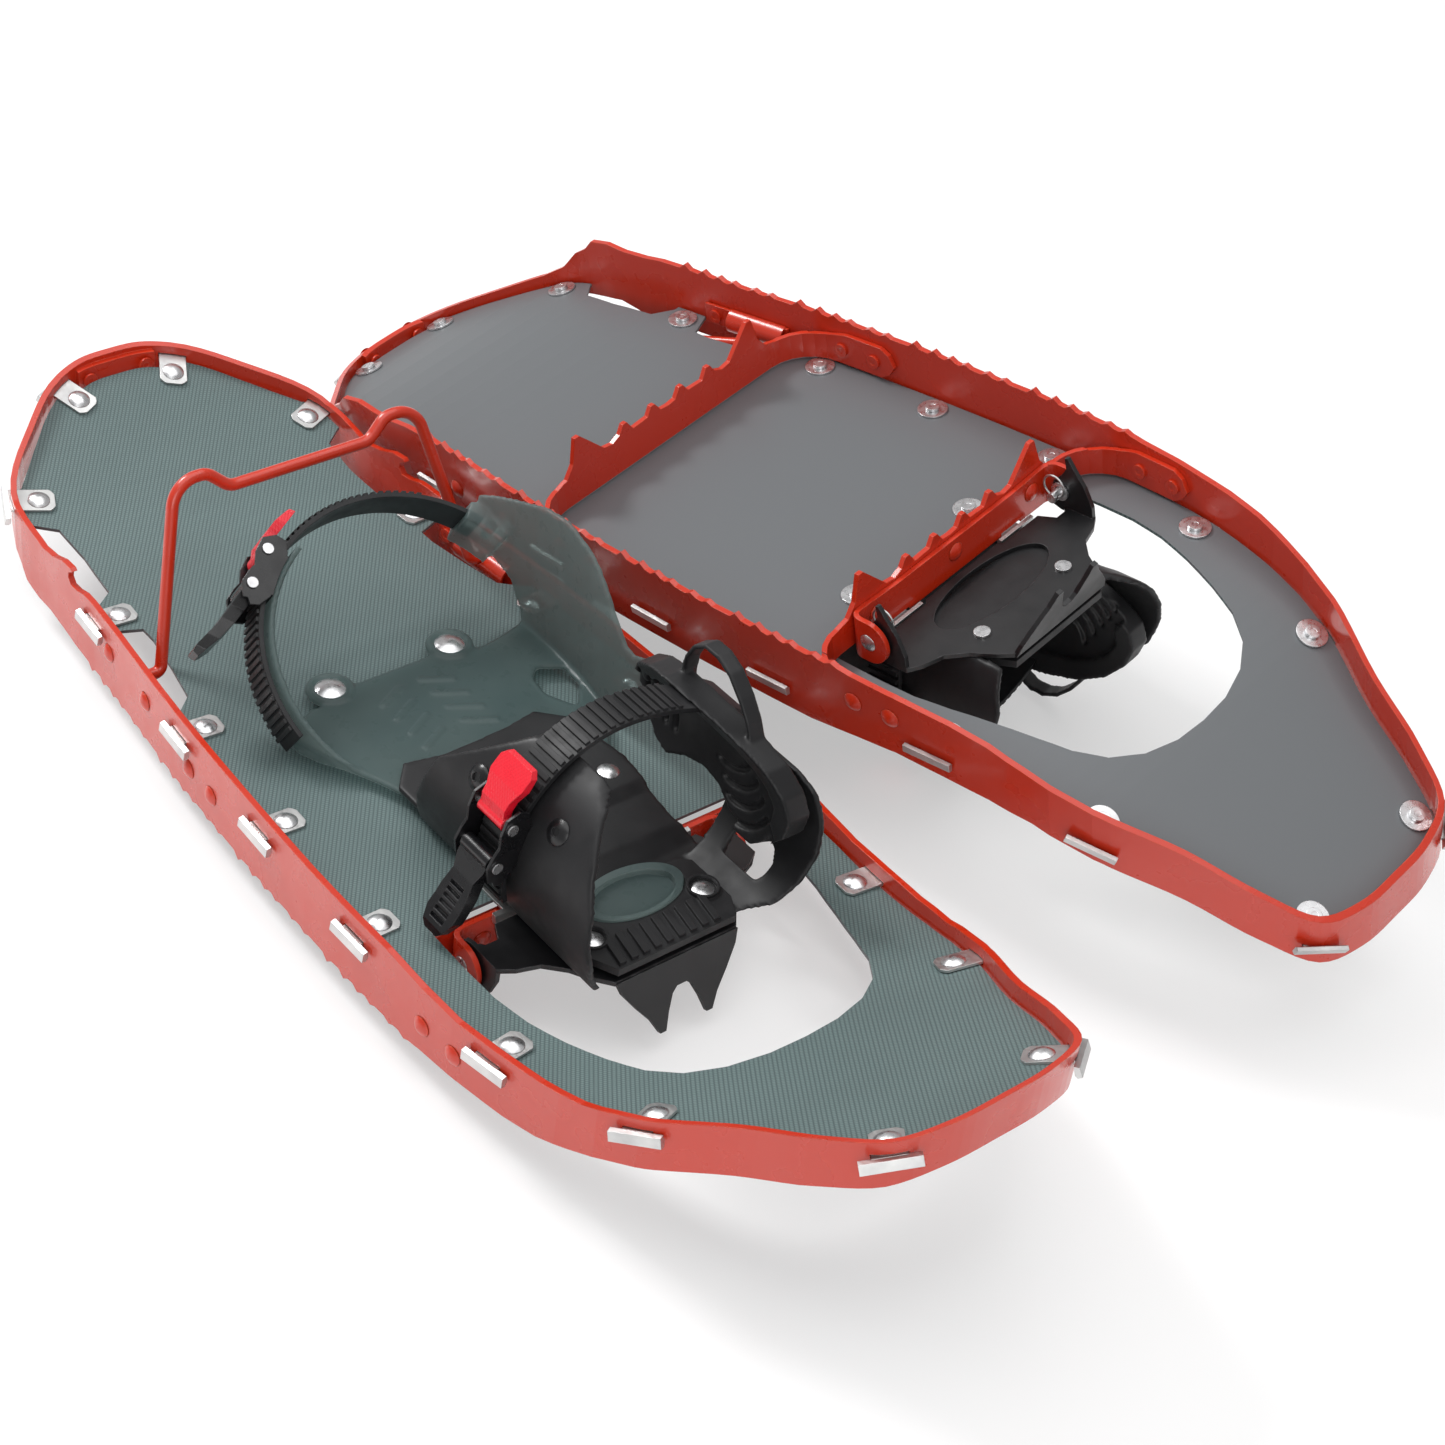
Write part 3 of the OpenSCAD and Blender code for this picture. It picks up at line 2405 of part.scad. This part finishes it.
module left_heel_lift() {
  on_left() {
    heel_lift(folded);
  }
}

module left_pivot_pins() {
  on_left() {
    pivot_pins();
  }
}

module left_split_rings() {
  on_left() {
    split_rings();
  }
}

module left_crampon() {
  on_left() {
    crampon();
  }
}

module left_toe_platform() {
  on_left() {
    toe_platform();
  }
}

module left_toe_window() {
  on_left() {
    toe_window();
  }
}

module left_toe_base() {
  on_left() {
    toe_base();
  }
}

module left_heel_harness() {
  on_left() {
    heel_harness();
  }
}

module left_binding_rivets() {
  on_left() {
    binding_rivets();
  }
}

module left_wing_rivets() {
  on_left() {
    wing_rivets();
  }
}

module left_toe_ladder_strap() {
  on_left() {
    toe_ladder_strap();
  }
}

module left_toe_strap_pad() {
  on_left() {
    toe_strap_pad();
  }
}

module left_toe_buckle_frame() {
  on_left() {
    toe_buckle_frame();
  }
}

module left_toe_buckle_lever() {
  on_left() {
    toe_buckle_lever();
  }
}

module left_toe_buckle_release() {
  on_left() {
    toe_buckle_release();
  }
}

module left_heel_ladder_strap() {
  on_left() {
    heel_ladder_strap();
  }
}

module left_heel_buckle_frame() {
  on_left() {
    heel_buckle_frame();
  }
}

module left_heel_buckle_lever() {
  on_left() {
    heel_buckle_lever();
  }
}

module left_heel_buckle_release() {
  on_left() {
    heel_buckle_release();
  }
}

module left_buckle_pins() {
  on_left() {
    all_buckle_pins();
  }
}

right_frame();
right_deck();
right_deck_clips();
right_deck_rivets();
right_deck_washers();
right_frame_rivets();
right_rear_crossmember();
right_front_crossmember();
right_pivot_bracket();
right_bail_brackets();
right_heel_lift();
right_pivot_pins();
right_split_rings();
right_crampon();
right_toe_platform();
right_toe_window();
right_toe_base();
right_heel_harness();
right_binding_rivets();
right_wing_rivets();
right_toe_ladder_strap();
right_toe_strap_pad();
right_toe_buckle_frame();
right_toe_buckle_lever();
right_toe_buckle_release();
right_heel_ladder_strap();
right_heel_buckle_frame();
right_heel_buckle_lever();
right_heel_buckle_release();
right_buckle_pins();
left_frame();
left_deck();
left_deck_clips();
left_deck_rivets();
left_deck_washers();
left_frame_rivets();
left_rear_crossmember();
left_front_crossmember();
left_pivot_bracket();
left_bail_brackets();
left_heel_lift();
left_pivot_pins();
left_split_rings();
left_crampon();
left_toe_platform();
left_toe_window();
left_toe_base();
left_heel_harness();
left_binding_rivets();
left_wing_rivets();
left_toe_ladder_strap();
left_toe_strap_pad();
left_toe_buckle_frame();
left_toe_buckle_lever();
left_toe_buckle_release();
left_heel_ladder_strap();
left_heel_buckle_frame();
left_heel_buckle_lever();
left_heel_buckle_release();
left_buckle_pins();
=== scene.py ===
"""Looks of a pair of snowshoes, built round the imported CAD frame. Units are metres."""

import math

import bpy
from mathutils import Matrix, Vector


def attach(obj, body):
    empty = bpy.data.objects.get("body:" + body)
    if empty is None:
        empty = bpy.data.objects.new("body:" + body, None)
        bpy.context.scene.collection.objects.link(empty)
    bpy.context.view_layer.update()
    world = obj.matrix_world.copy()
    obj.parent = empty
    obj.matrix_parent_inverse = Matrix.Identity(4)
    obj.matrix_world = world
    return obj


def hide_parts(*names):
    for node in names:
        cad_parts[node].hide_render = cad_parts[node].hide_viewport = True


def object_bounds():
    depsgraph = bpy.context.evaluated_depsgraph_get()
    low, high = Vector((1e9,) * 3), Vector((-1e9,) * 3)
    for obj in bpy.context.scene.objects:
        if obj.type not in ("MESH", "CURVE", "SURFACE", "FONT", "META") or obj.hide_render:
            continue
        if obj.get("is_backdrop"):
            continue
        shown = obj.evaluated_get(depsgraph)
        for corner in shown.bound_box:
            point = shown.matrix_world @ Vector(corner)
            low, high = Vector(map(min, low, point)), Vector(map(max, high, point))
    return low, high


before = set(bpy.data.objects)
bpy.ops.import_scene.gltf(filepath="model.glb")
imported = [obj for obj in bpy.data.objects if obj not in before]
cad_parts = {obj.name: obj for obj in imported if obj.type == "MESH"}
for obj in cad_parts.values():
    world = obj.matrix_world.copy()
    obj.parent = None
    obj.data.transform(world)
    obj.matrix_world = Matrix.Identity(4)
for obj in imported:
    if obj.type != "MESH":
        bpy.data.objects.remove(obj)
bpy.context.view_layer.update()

MM = 0.001
# Shift from the right shoe's own frame to the middle of the pair
PAIR_PLACE = Vector((111.73, 0.66, -1.8)) * MM
SIDES = ("right", "left")
# The left shoe lies upside down and leans on its binding
LEFT_ROLL, LEFT_PITCH, LEFT_TURN = (math.radians(a) for a in (10.83, 6.05, 8.57))
LEFT_TURNS = (
    Matrix.Rotation(LEFT_ROLL, 3, "Y")
    @ Matrix.Rotation(LEFT_PITCH, 3, "X")
    @ Matrix.Rotation(LEFT_TURN, 3, "Z")
)
# The side of each deck that faces a standing wearer
DECK_UP = {"right": Vector((0, 0, 1)), "left": -(LEFT_TURNS @ Vector((0, 0, 1)))}

# Colours, linear
RED = (0.54, 0.027, 0.006)
# Lighter orange for the frame edges: partly worn coat, partly a painted highlight
RED_EDGE_WEAR_AND_HIGHLIGHT = (0.76, 0.085, 0.020)
RED_DEEP = (0.38, 0.013, 0.004)
WEAVE_LIGHT = (0.145, 0.211, 0.208)
WEAVE_DARK = (0.032, 0.055, 0.056)
UNDERSIDE = (0.112, 0.120, 0.127)
UNDERSIDE_HAZE = (0.110, 0.118, 0.126)
STEEL = (0.66, 0.66, 0.65)
STEEL_DULL = (0.50, 0.50, 0.50)
ALUMINIUM = (0.74, 0.74, 0.75)
ALUMINIUM_DULL = (0.55, 0.55, 0.56)
RUBBER = (0.0085, 0.0085, 0.0095)
RUBBER_DUST = (0.024, 0.024, 0.026)
PLASTIC = (0.006, 0.006, 0.007)
PLASTIC_RUBBED = (0.07, 0.07, 0.075)
PAINT_BLACK = (0.008, 0.008, 0.009)
PAINT_RUBBED = (0.16, 0.16, 0.17)
SMOKE = (0.120, 0.170, 0.172)
SMOKE_PALE = (0.165, 0.215, 0.212)
SMOKE_RIM = (0.045, 0.072, 0.078)
SMOKE_GLOW = (0.60, 0.68, 0.66)
SMOKE_CLEAR = (0.66, 0.74, 0.73)
TAB = (0.78, 0.012, 0.030)
TAB_DEEP = (0.70, 0.008, 0.022)
PAPER = (0.93, 0.93, 0.93)
PAPER_LIGHT = (0.95, 0.95, 0.95)

# Sizes of the surface patterns
RIB_PITCH = 1.7 * MM
PICK_PITCH = 1.3 * MM
RIB_RUN = Vector((0.61, 0.79, 0)).normalized()
RIB_STEP = Vector((-RIB_RUN.y, RIB_RUN.x, 0))
HATCH_PITCH = 2.2 * MM
HATCH_RUNS = (Vector((0.7, 0.7, 0.15)), Vector((-0.7, 0.7, 0.15)))
# How alike a rounded and a true normal are on a flat and on a sharp edge
EDGE_FLAT, EDGE_SHARP = 0.985, 0.80

FLOOR_SIZE = 12.0
WORLD_LIGHT = 0.42
# Distances from the middle of the floor between which it turns plain white
FADE_FROM, FADE_TO = 0.65, 1.5
# Share of plain white that lightens the shadows beside the shoes
NEAR_WHITE = 0.45


# ---------------------------------------------------------------- node helpers
class Graph:
    """A material's node tree with short ways to add and join nodes."""

    def __init__(self, name):
        self.material = bpy.data.materials.new(name)
        self.material.use_nodes = True
        self.tree = self.material.node_tree
        self.tree.nodes.clear()
        self.output = self.add("ShaderNodeOutputMaterial")
        self.shader = self.add("ShaderNodeBsdfPrincipled")
        self.join(self.shader.outputs[0], self.output.inputs[0])
        self.place = self.add("ShaderNodeTexCoord").outputs["Object"]

    def add(self, kind, **settings):
        node = self.tree.nodes.new(kind)
        for key, value in settings.items():
            setattr(node, key, value)
        return node

    def join(self, a, b):
        self.tree.links.new(a, b)

    def feed(self, socket, value):
        if isinstance(value, bpy.types.NodeSocket):
            self.join(value, socket)
        elif isinstance(value, tuple) and len(value) == 3 and socket.type == "RGBA":
            socket.default_value = (*value, 1)
        else:
            socket.default_value = value

    def set(self, **values):
        for key, value in values.items():
            self.feed(self.shader.inputs[key.replace("_", " ")], value)

    def math(self, operation, a, b=0.0, c=0.0):
        node = self.add("ShaderNodeMath", operation=operation)
        for socket, value in zip(node.inputs, (a, b, c)):
            self.feed(socket, value)
        return node.outputs[0]

    def along(self, direction, source=None):
        """Distance along a direction, as a number."""
        node = self.add("ShaderNodeVectorMath", operation="DOT_PRODUCT")
        self.join(source or self.place, node.inputs[0])
        node.inputs[1].default_value = direction
        return node.outputs["Value"]

    def noise(self, scale, detail=3, rough=0.5, stretch=(1, 1, 1)):
        mapped = self.add("ShaderNodeMapping")
        self.join(self.place, mapped.inputs[0])
        mapped.inputs["Scale"].default_value = stretch
        node = self.add("ShaderNodeTexNoise")
        self.join(mapped.outputs[0], node.inputs["Vector"])
        node.inputs["Scale"].default_value = scale
        node.inputs["Detail"].default_value = detail
        node.inputs["Roughness"].default_value = rough
        return node.outputs["Fac"]

    def span(self, value, low, high, to_low=0.0, to_high=1.0):
        node = self.add("ShaderNodeMapRange")
        for socket, v in zip(node.inputs, (value, low, high, to_low, to_high)):
            self.feed(socket, v)
        return node.outputs[0]

    def blend(self, factor, a, b):
        node = self.add("ShaderNodeMix", data_type="RGBA")
        self.feed(node.inputs["Factor"], factor)
        self.feed(node.inputs[6], a)
        self.feed(node.inputs[7], b)
        return node.outputs[2]

    def rounded(self, radius):
        node = self.add("ShaderNodeBevel", samples=4)
        node.inputs["Radius"].default_value = radius
        return node.outputs[0]

    def edges(self, radius):
        """1 on a sharp edge and 0 on a flat."""
        flat = self.add("ShaderNodeNewGeometry").outputs["Normal"]
        node = self.add("ShaderNodeVectorMath", operation="DOT_PRODUCT")
        self.join(self.rounded(radius), node.inputs[0])
        self.join(flat, node.inputs[1])
        return self.span(node.outputs["Value"], EDGE_FLAT, EDGE_SHARP)

    def bump(self, height, strength, distance, normal=None):
        node = self.add("ShaderNodeBump")
        node.inputs["Strength"].default_value = strength
        node.inputs["Distance"].default_value = distance
        self.join(height, node.inputs["Height"])
        if normal is not None:
            self.join(normal, node.inputs["Normal"])
        return node.outputs[0]

    def wave(self, phase):
        """Half waves, one for every whole step of the phase."""
        return self.math("ABSOLUTE", self.math("SINE", self.math("MULTIPLY", phase, math.pi)))

    def faces(self, direction):
        """1 where the surface faces along a direction of the object and 0 elsewhere."""
        turned = self.add("ShaderNodeVectorTransform", vector_type="NORMAL")
        turned.convert_from, turned.convert_to = "WORLD", "OBJECT"
        self.join(self.add("ShaderNodeNewGeometry").outputs["Normal"], turned.inputs[0])
        return self.math("GREATER_THAN", self.along(direction, turned.outputs[0]), 0.0)

    def mix(self, factor, a, b):
        """One shader turning into another."""
        node = self.add("ShaderNodeMixShader")
        self.feed(node.inputs[0], factor)
        self.join(a, node.inputs[1])
        self.join(b, node.inputs[2])
        return node.outputs[0]


# ---------------------------------------------------------------- materials
def powder_coat():
    """Glossy red powder coat with orange peel, lighter on the edges, partly worn thin and
    partly a painted highlight.
    """
    g = Graph("powder_coat")
    tone = g.blend(g.noise(14, 3), RED_DEEP, RED)
    tone = g.blend(0.72, tone, RED)
    # Edges painted lighter orange: partly patchy wear, partly a painted highlight where the
    # edges catch the light
    wear = g.math("MULTIPLY", g.edges(0.7 * MM), g.span(g.noise(160, 4), 0.35, 0.6))
    color = g.blend(g.math("MULTIPLY", wear, 0.75), tone, RED_EDGE_WEAR_AND_HIGHLIGHT)
    peel = g.bump(g.noise(620, 2), 0.10, 0.15 * MM, g.rounded(0.55 * MM))
    g.set(
        Base_Color=color,
        Roughness=g.span(g.noise(60, 3), 0.3, 0.7, 0.22, 0.36),
        Coat_Weight=0.35,
        Coat_Roughness=0.12,
        Normal=peel,
    )
    return g.material


def coated_weave(side):
    """Deck sheet: ribbed weave under a clear coat on top, smooth coating underneath."""
    g = Graph("coated_weave_" + side)
    across = g.math("DIVIDE", g.along(RIB_STEP), RIB_PITCH)
    down = g.math("DIVIDE", g.along(RIB_RUN), PICK_PITCH)
    rib = g.wave(across)
    offset = g.math("MULTIPLY", g.math("MODULO", g.math("FLOOR", across), 2.0), 0.5)
    pick = g.wave(g.math("ADD", down, offset))
    thread = g.math("MULTIPLY", g.math("POWER", rib, 0.7), g.span(pick, 0, 1, 0.25, 1.0))
    tone = g.blend(g.math("POWER", thread, 0.8), WEAVE_DARK, WEAVE_LIGHT)
    dirt = g.span(g.noise(9, 4), 0.3, 0.7, 0.0, 0.28)
    top = g.blend(dirt, tone, WEAVE_DARK)
    haze = g.noise(5, 3)
    under = g.blend(g.span(haze, 0.3, 0.7, 0, 0.35), UNDERSIDE, UNDERSIDE_HAZE)
    is_top = g.faces(DECK_UP[side])
    height = g.math("MULTIPLY", thread, is_top)
    grain = g.bump(g.noise(1400, 2), 0.12, 0.05 * MM)
    g.set(
        Base_Color=g.blend(is_top, under, top),
        Roughness=g.span(is_top, 0, 1, 0.42, 0.58),
        Sheen_Weight=0.12,
        Sheen_Roughness=0.4,
        Coat_Weight=g.span(is_top, 0, 1, 0.10, 0.06),
        Coat_Roughness=0.35,
        Normal=g.bump(height, 0.55, 0.22 * MM, grain),
    )
    return g.material


def brushed_steel():
    """Satin pressed steel with a fine brushed grain and dull smudges."""
    g = Graph("brushed_steel")
    grain = g.noise(900, 3, stretch=(1, 0.08, 1))
    smudge = g.noise(70, 4)
    g.set(
        Base_Color=g.blend(g.span(smudge, 0.35, 0.7), STEEL, STEEL_DULL),
        Metallic=0.92,
        Roughness=g.span(grain, 0.3, 0.7, 0.30, 0.46),
        Normal=g.bump(grain, 0.10, 0.05 * MM, g.rounded(0.35 * MM)),
    )
    return g.material


def rivet_aluminium():
    """Pressed aluminium rivet heads with small dents and a soft shine."""
    g = Graph("rivet_aluminium")
    dent = g.noise(420, 3)
    g.set(
        Base_Color=g.blend(g.span(g.noise(150, 3), 0.4, 0.7), ALUMINIUM, ALUMINIUM_DULL),
        Metallic=0.95,
        Roughness=g.span(dent, 0.3, 0.7, 0.22, 0.38),
        Normal=g.bump(dent, 0.08, 0.06 * MM, g.rounded(0.4 * MM)),
    )
    return g.material


def black_paint():
    """Matte black coating of the crampon, rubbed grey on its edges."""
    g = Graph("black_paint")
    wear = g.math("MULTIPLY", g.edges(0.6 * MM), g.span(g.noise(240, 4), 0.45, 0.65))
    g.set(
        Base_Color=g.blend(g.math("MULTIPLY", wear, 0.5), PAINT_BLACK, PAINT_RUBBED),
        Roughness=g.span(g.noise(80, 3), 0.3, 0.7, 0.30, 0.44),
        Coat_Weight=0.12,
        Coat_Roughness=0.3,
        Normal=g.bump(g.noise(900, 2), 0.14, 0.08 * MM, g.rounded(0.5 * MM)),
    )
    return g.material


def moulded_rubber():
    """Black moulded harness and strap material: fine pebble, soft sheen, dusty patches."""
    g = Graph("moulded_rubber")
    dust = g.span(g.noise(26, 5), 0.45, 0.75, 0, 0.30)
    g.set(
        Base_Color=g.blend(dust, RUBBER, RUBBER_DUST),
        Roughness=g.span(g.noise(110, 4), 0.3, 0.7, 0.40, 0.56),
        Specular_IOR_Level=0.38,
        Sheen_Weight=0.02,
        Normal=g.bump(g.noise(1500, 3), 0.25, 0.07 * MM, g.rounded(0.5 * MM)),
    )
    return g.material


def glossy_plastic():
    """Black injection-moulded buckles with a light polish and rubbed edges."""
    g = Graph("glossy_plastic")
    wear = g.math("MULTIPLY", g.edges(0.5 * MM), 0.35)
    g.set(
        Base_Color=g.blend(wear, PLASTIC, PLASTIC_RUBBED),
        Roughness=g.span(g.noise(90, 3), 0.3, 0.7, 0.20, 0.34),
        Normal=g.bump(g.noise(700, 2), 0.10, 0.06 * MM, g.rounded(0.5 * MM)),
    )
    return g.material


def release_red():
    """Red tabs with a raised cross hatch."""
    g = Graph("release_red")
    lines = []
    for run in HATCH_RUNS:
        phase = g.math("MULTIPLY", g.along(run.normalized()), 2 / HATCH_PITCH)
        lines.append(g.wave(phase))
    hatch = g.math("MINIMUM", *lines)
    g.set(
        Base_Color=g.blend(g.noise(60, 2), TAB, TAB_DEEP),
        Roughness=g.span(g.noise(120, 3), 0.3, 0.7, 0.24, 0.36),
        Coat_Weight=0.2,
        Normal=g.bump(hatch, 0.35, 0.25 * MM, g.rounded(0.5 * MM)),
    )
    return g.material


def smoky_gel():
    """Frosted see-through urethane: milky where light comes through, dark at the rims."""
    g = Graph("smoky_gel")
    cloud = g.noise(30, 4)
    rim = g.add("ShaderNodeLayerWeight")
    rim.inputs["Blend"].default_value = 0.45
    edge = g.span(rim.outputs["Facing"], 0.25, 0.95)
    body = g.blend(g.span(cloud, 0.3, 0.7), SMOKE, SMOKE_PALE)
    g.set(
        Base_Color=g.blend(edge, body, SMOKE_RIM),
        Roughness=g.span(g.noise(140, 4), 0.3, 0.7, 0.24, 0.38),
        IOR=1.47,
        Specular_IOR_Level=0.6,
        Coat_Weight=0.15,
        Coat_Roughness=0.2,
        Normal=g.bump(g.noise(700, 3), 0.10, 0.08 * MM, g.rounded(0.8 * MM)),
    )
    glow = g.add("ShaderNodeBsdfTranslucent")
    g.feed(glow.inputs["Color"], SMOKE_GLOW)
    clear = g.add("ShaderNodeBsdfTransparent")
    g.feed(clear.inputs["Color"], SMOKE_CLEAR)
    soft = g.mix(0.40, g.shader.outputs[0], glow.outputs[0])
    through = g.mix(g.span(edge, 0, 1, 0.50, 0.05), soft, clear.outputs[0])
    g.join(through, g.output.inputs[0])
    return g.material


def studio_floor():
    """Pale floor sheet with a faint paper grain; far away the camera sees it as plain white."""
    g = Graph("studio_floor")
    g.set(
        Base_Color=g.blend(g.noise(3, 2), PAPER, PAPER_LIGHT),
        Roughness=0.75,
        Normal=g.bump(g.noise(300, 2), 0.02, 0.2 * MM),
    )
    reach = g.add("ShaderNodeVectorMath", operation="LENGTH")
    g.join(g.place, reach.inputs[0])
    far = g.span(reach.outputs["Value"], FADE_FROM, FADE_TO, NEAR_WHITE)
    seen = g.add("ShaderNodeLightPath").outputs["Is Camera Ray"]
    white = g.add("ShaderNodeEmission")
    faded = g.mix(g.math("MULTIPLY", far, seen), g.shader.outputs[0], white.outputs[0])
    g.join(faded, g.output.inputs[0])
    return g.material


MATERIALS = {
    "coat": powder_coat(),
    "steel": brushed_steel(),
    "alu": rivet_aluminium(),
    "paint": black_paint(),
    "rubber": moulded_rubber(),
    "plastic": glossy_plastic(),
    "tab": release_red(),
    "gel": smoky_gel(),
    "weave_right": coated_weave("right"),
    "weave_left": coated_weave("left"),
}
FINISH = {
    "frame": "coat",
    "deck_clips": "steel",
    "deck_rivets": "alu",
    "deck_washers": "alu",
    "frame_rivets": "coat",
    "rear_crossmember": "coat",
    "front_crossmember": "coat",
    "pivot_bracket": "coat",
    "bail_brackets": "coat",
    "heel_lift": "coat",
    "pivot_pins": "alu",
    "split_rings": "steel",
    "crampon": "paint",
    "toe_platform": "rubber",
    "toe_window": "gel",
    "toe_base": "rubber",
    "heel_harness": "gel",
    "binding_rivets": "alu",
    "wing_rivets": "plastic",
    "toe_ladder_strap": "rubber",
    "toe_strap_pad": "rubber",
    "toe_buckle_frame": "plastic",
    "toe_buckle_lever": "plastic",
    "toe_buckle_release": "tab",
    "heel_ladder_strap": "rubber",
    "heel_buckle_frame": "plastic",
    "heel_buckle_lever": "plastic",
    "heel_buckle_release": "tab",
    "buckle_pins": "alu",
}


def dress(obj, material):
    obj.data.materials.clear()
    obj.data.materials.append(material)


for side in SIDES:
    dress(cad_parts[side + "_deck"], MATERIALS["weave_" + side])
    for piece, finish in FINISH.items():
        dress(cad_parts[side + "_" + piece], MATERIALS[finish])


# ---------------------------------------------------------------- moulded pieces
def moulded(node, name, voxel, passes):
    """A copy of a CAD solid with every corner run together, as soft moulded plastic is."""
    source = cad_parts[node]
    obj = bpy.data.objects.new(name, source.data.copy())
    bpy.context.scene.collection.objects.link(obj)
    remesh = obj.modifiers.new("voxels", "REMESH")
    remesh.mode = "VOXEL"
    remesh.voxel_size = voxel
    remesh.use_smooth_shade = True
    soften = obj.modifiers.new("soften", "SMOOTH")
    soften.factor = 0.5
    soften.iterations = passes
    graph = bpy.context.evaluated_depsgraph_get()
    mesh = bpy.data.meshes.new_from_object(obj.evaluated_get(graph))
    obj.modifiers.clear()
    obj.data = mesh
    for polygon in mesh.polygons:
        polygon.use_smooth = True
    return obj


MOULDED = {
    "heel_harness": ("gel", 1.0 * MM, 4),
    "toe_base": ("rubber", 1.0 * MM, 4),
    "toe_strap_pad": ("rubber", 0.8 * MM, 4),
}
for side in SIDES:
    for piece, (finish, voxel, passes) in MOULDED.items():
        node = side + "_" + piece
        soft = moulded(node, node + "_moulded", voxel, passes)
        dress(soft, MATERIALS[finish])
        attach(soft, side + "_binding")
        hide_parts(node)

# ---------------------------------------------------------------- studio
low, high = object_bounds()
bpy.ops.mesh.primitive_plane_add(size=FLOOR_SIZE, location=(0, 0, low.z - 0.2 * MM))
floor = bpy.context.object
floor.name = "studio_floor"
dress(floor, studio_floor())
floor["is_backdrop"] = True

world = bpy.data.worlds.new("studio")
world.use_nodes = True
sky = world.node_tree
# The camera sees a white world, and the shoes are lit by a dimmer one
backdrop = sky.nodes["Background"]
backdrop.inputs[0].default_value = (1, 1, 1, 1)
seen = sky.nodes.new("ShaderNodeLightPath").outputs["Is Camera Ray"]
level = sky.nodes.new("ShaderNodeMapRange")
level.inputs["To Min"].default_value = WORLD_LIGHT
sky.links.new(seen, level.inputs["Value"])
sky.links.new(level.outputs[0], backdrop.inputs[1])
bpy.context.scene.world = world
bpy.context.scene.view_settings.view_transform = "Standard"

AIM = PAIR_PLACE + Vector((-0.10, 0.0, 0.04))


def soft_box(name, place, size, power):
    """A square lamp of a size in metres and a power in watts, turned to the pair."""
    data = bpy.data.lights.new(name, "AREA")
    data.shape = "SQUARE"
    data.size = size
    data.energy = power
    lamp = bpy.data.objects.new(name, data)
    bpy.context.scene.collection.objects.link(lamp)
    lamp.location = place
    lamp.rotation_euler = (AIM - lamp.location).to_track_quat("-Z", "Y").to_euler()


soft_box("overhead", AIM + Vector((0, 0, 2.0)), 2.4, 30)
soft_box("key", AIM + Vector((0.5, -1.7, 1.7)), 0.6, 34)
soft_box("front", AIM + Vector((1.1, 1.5, 0.9)), 1.0, 10)

# ---------------------------------------------------------------- camera
CAMERA_PLACE = PAIR_PLACE + Vector((575.9, 747.6, 821.5)) * MM
CAMERA_FORWARD = Vector((-0.54517, -0.56121, -0.62276))
CAMERA_UP = Vector((-0.32557, -0.54282, 0.77418))
LENS = 70.6
SENSOR = 36.0

camera_data = bpy.data.cameras.new("camera")
camera_data.lens = LENS
camera_data.sensor_width = SENSOR
camera_data.clip_start = 0.01
camera = bpy.data.objects.new("camera", camera_data)
bpy.context.scene.collection.objects.link(camera)
back = -CAMERA_FORWARD.normalized()
right = CAMERA_UP.cross(back).normalized()
up = back.cross(right)
turn = Matrix((right, up, back)).transposed()
camera.matrix_world = Matrix.Translation(CAMERA_PLACE) @ turn.to_4x4()
bpy.context.scene.camera = camera

# ---------------------------------------------------------------- bounds of the finished scene
low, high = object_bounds()
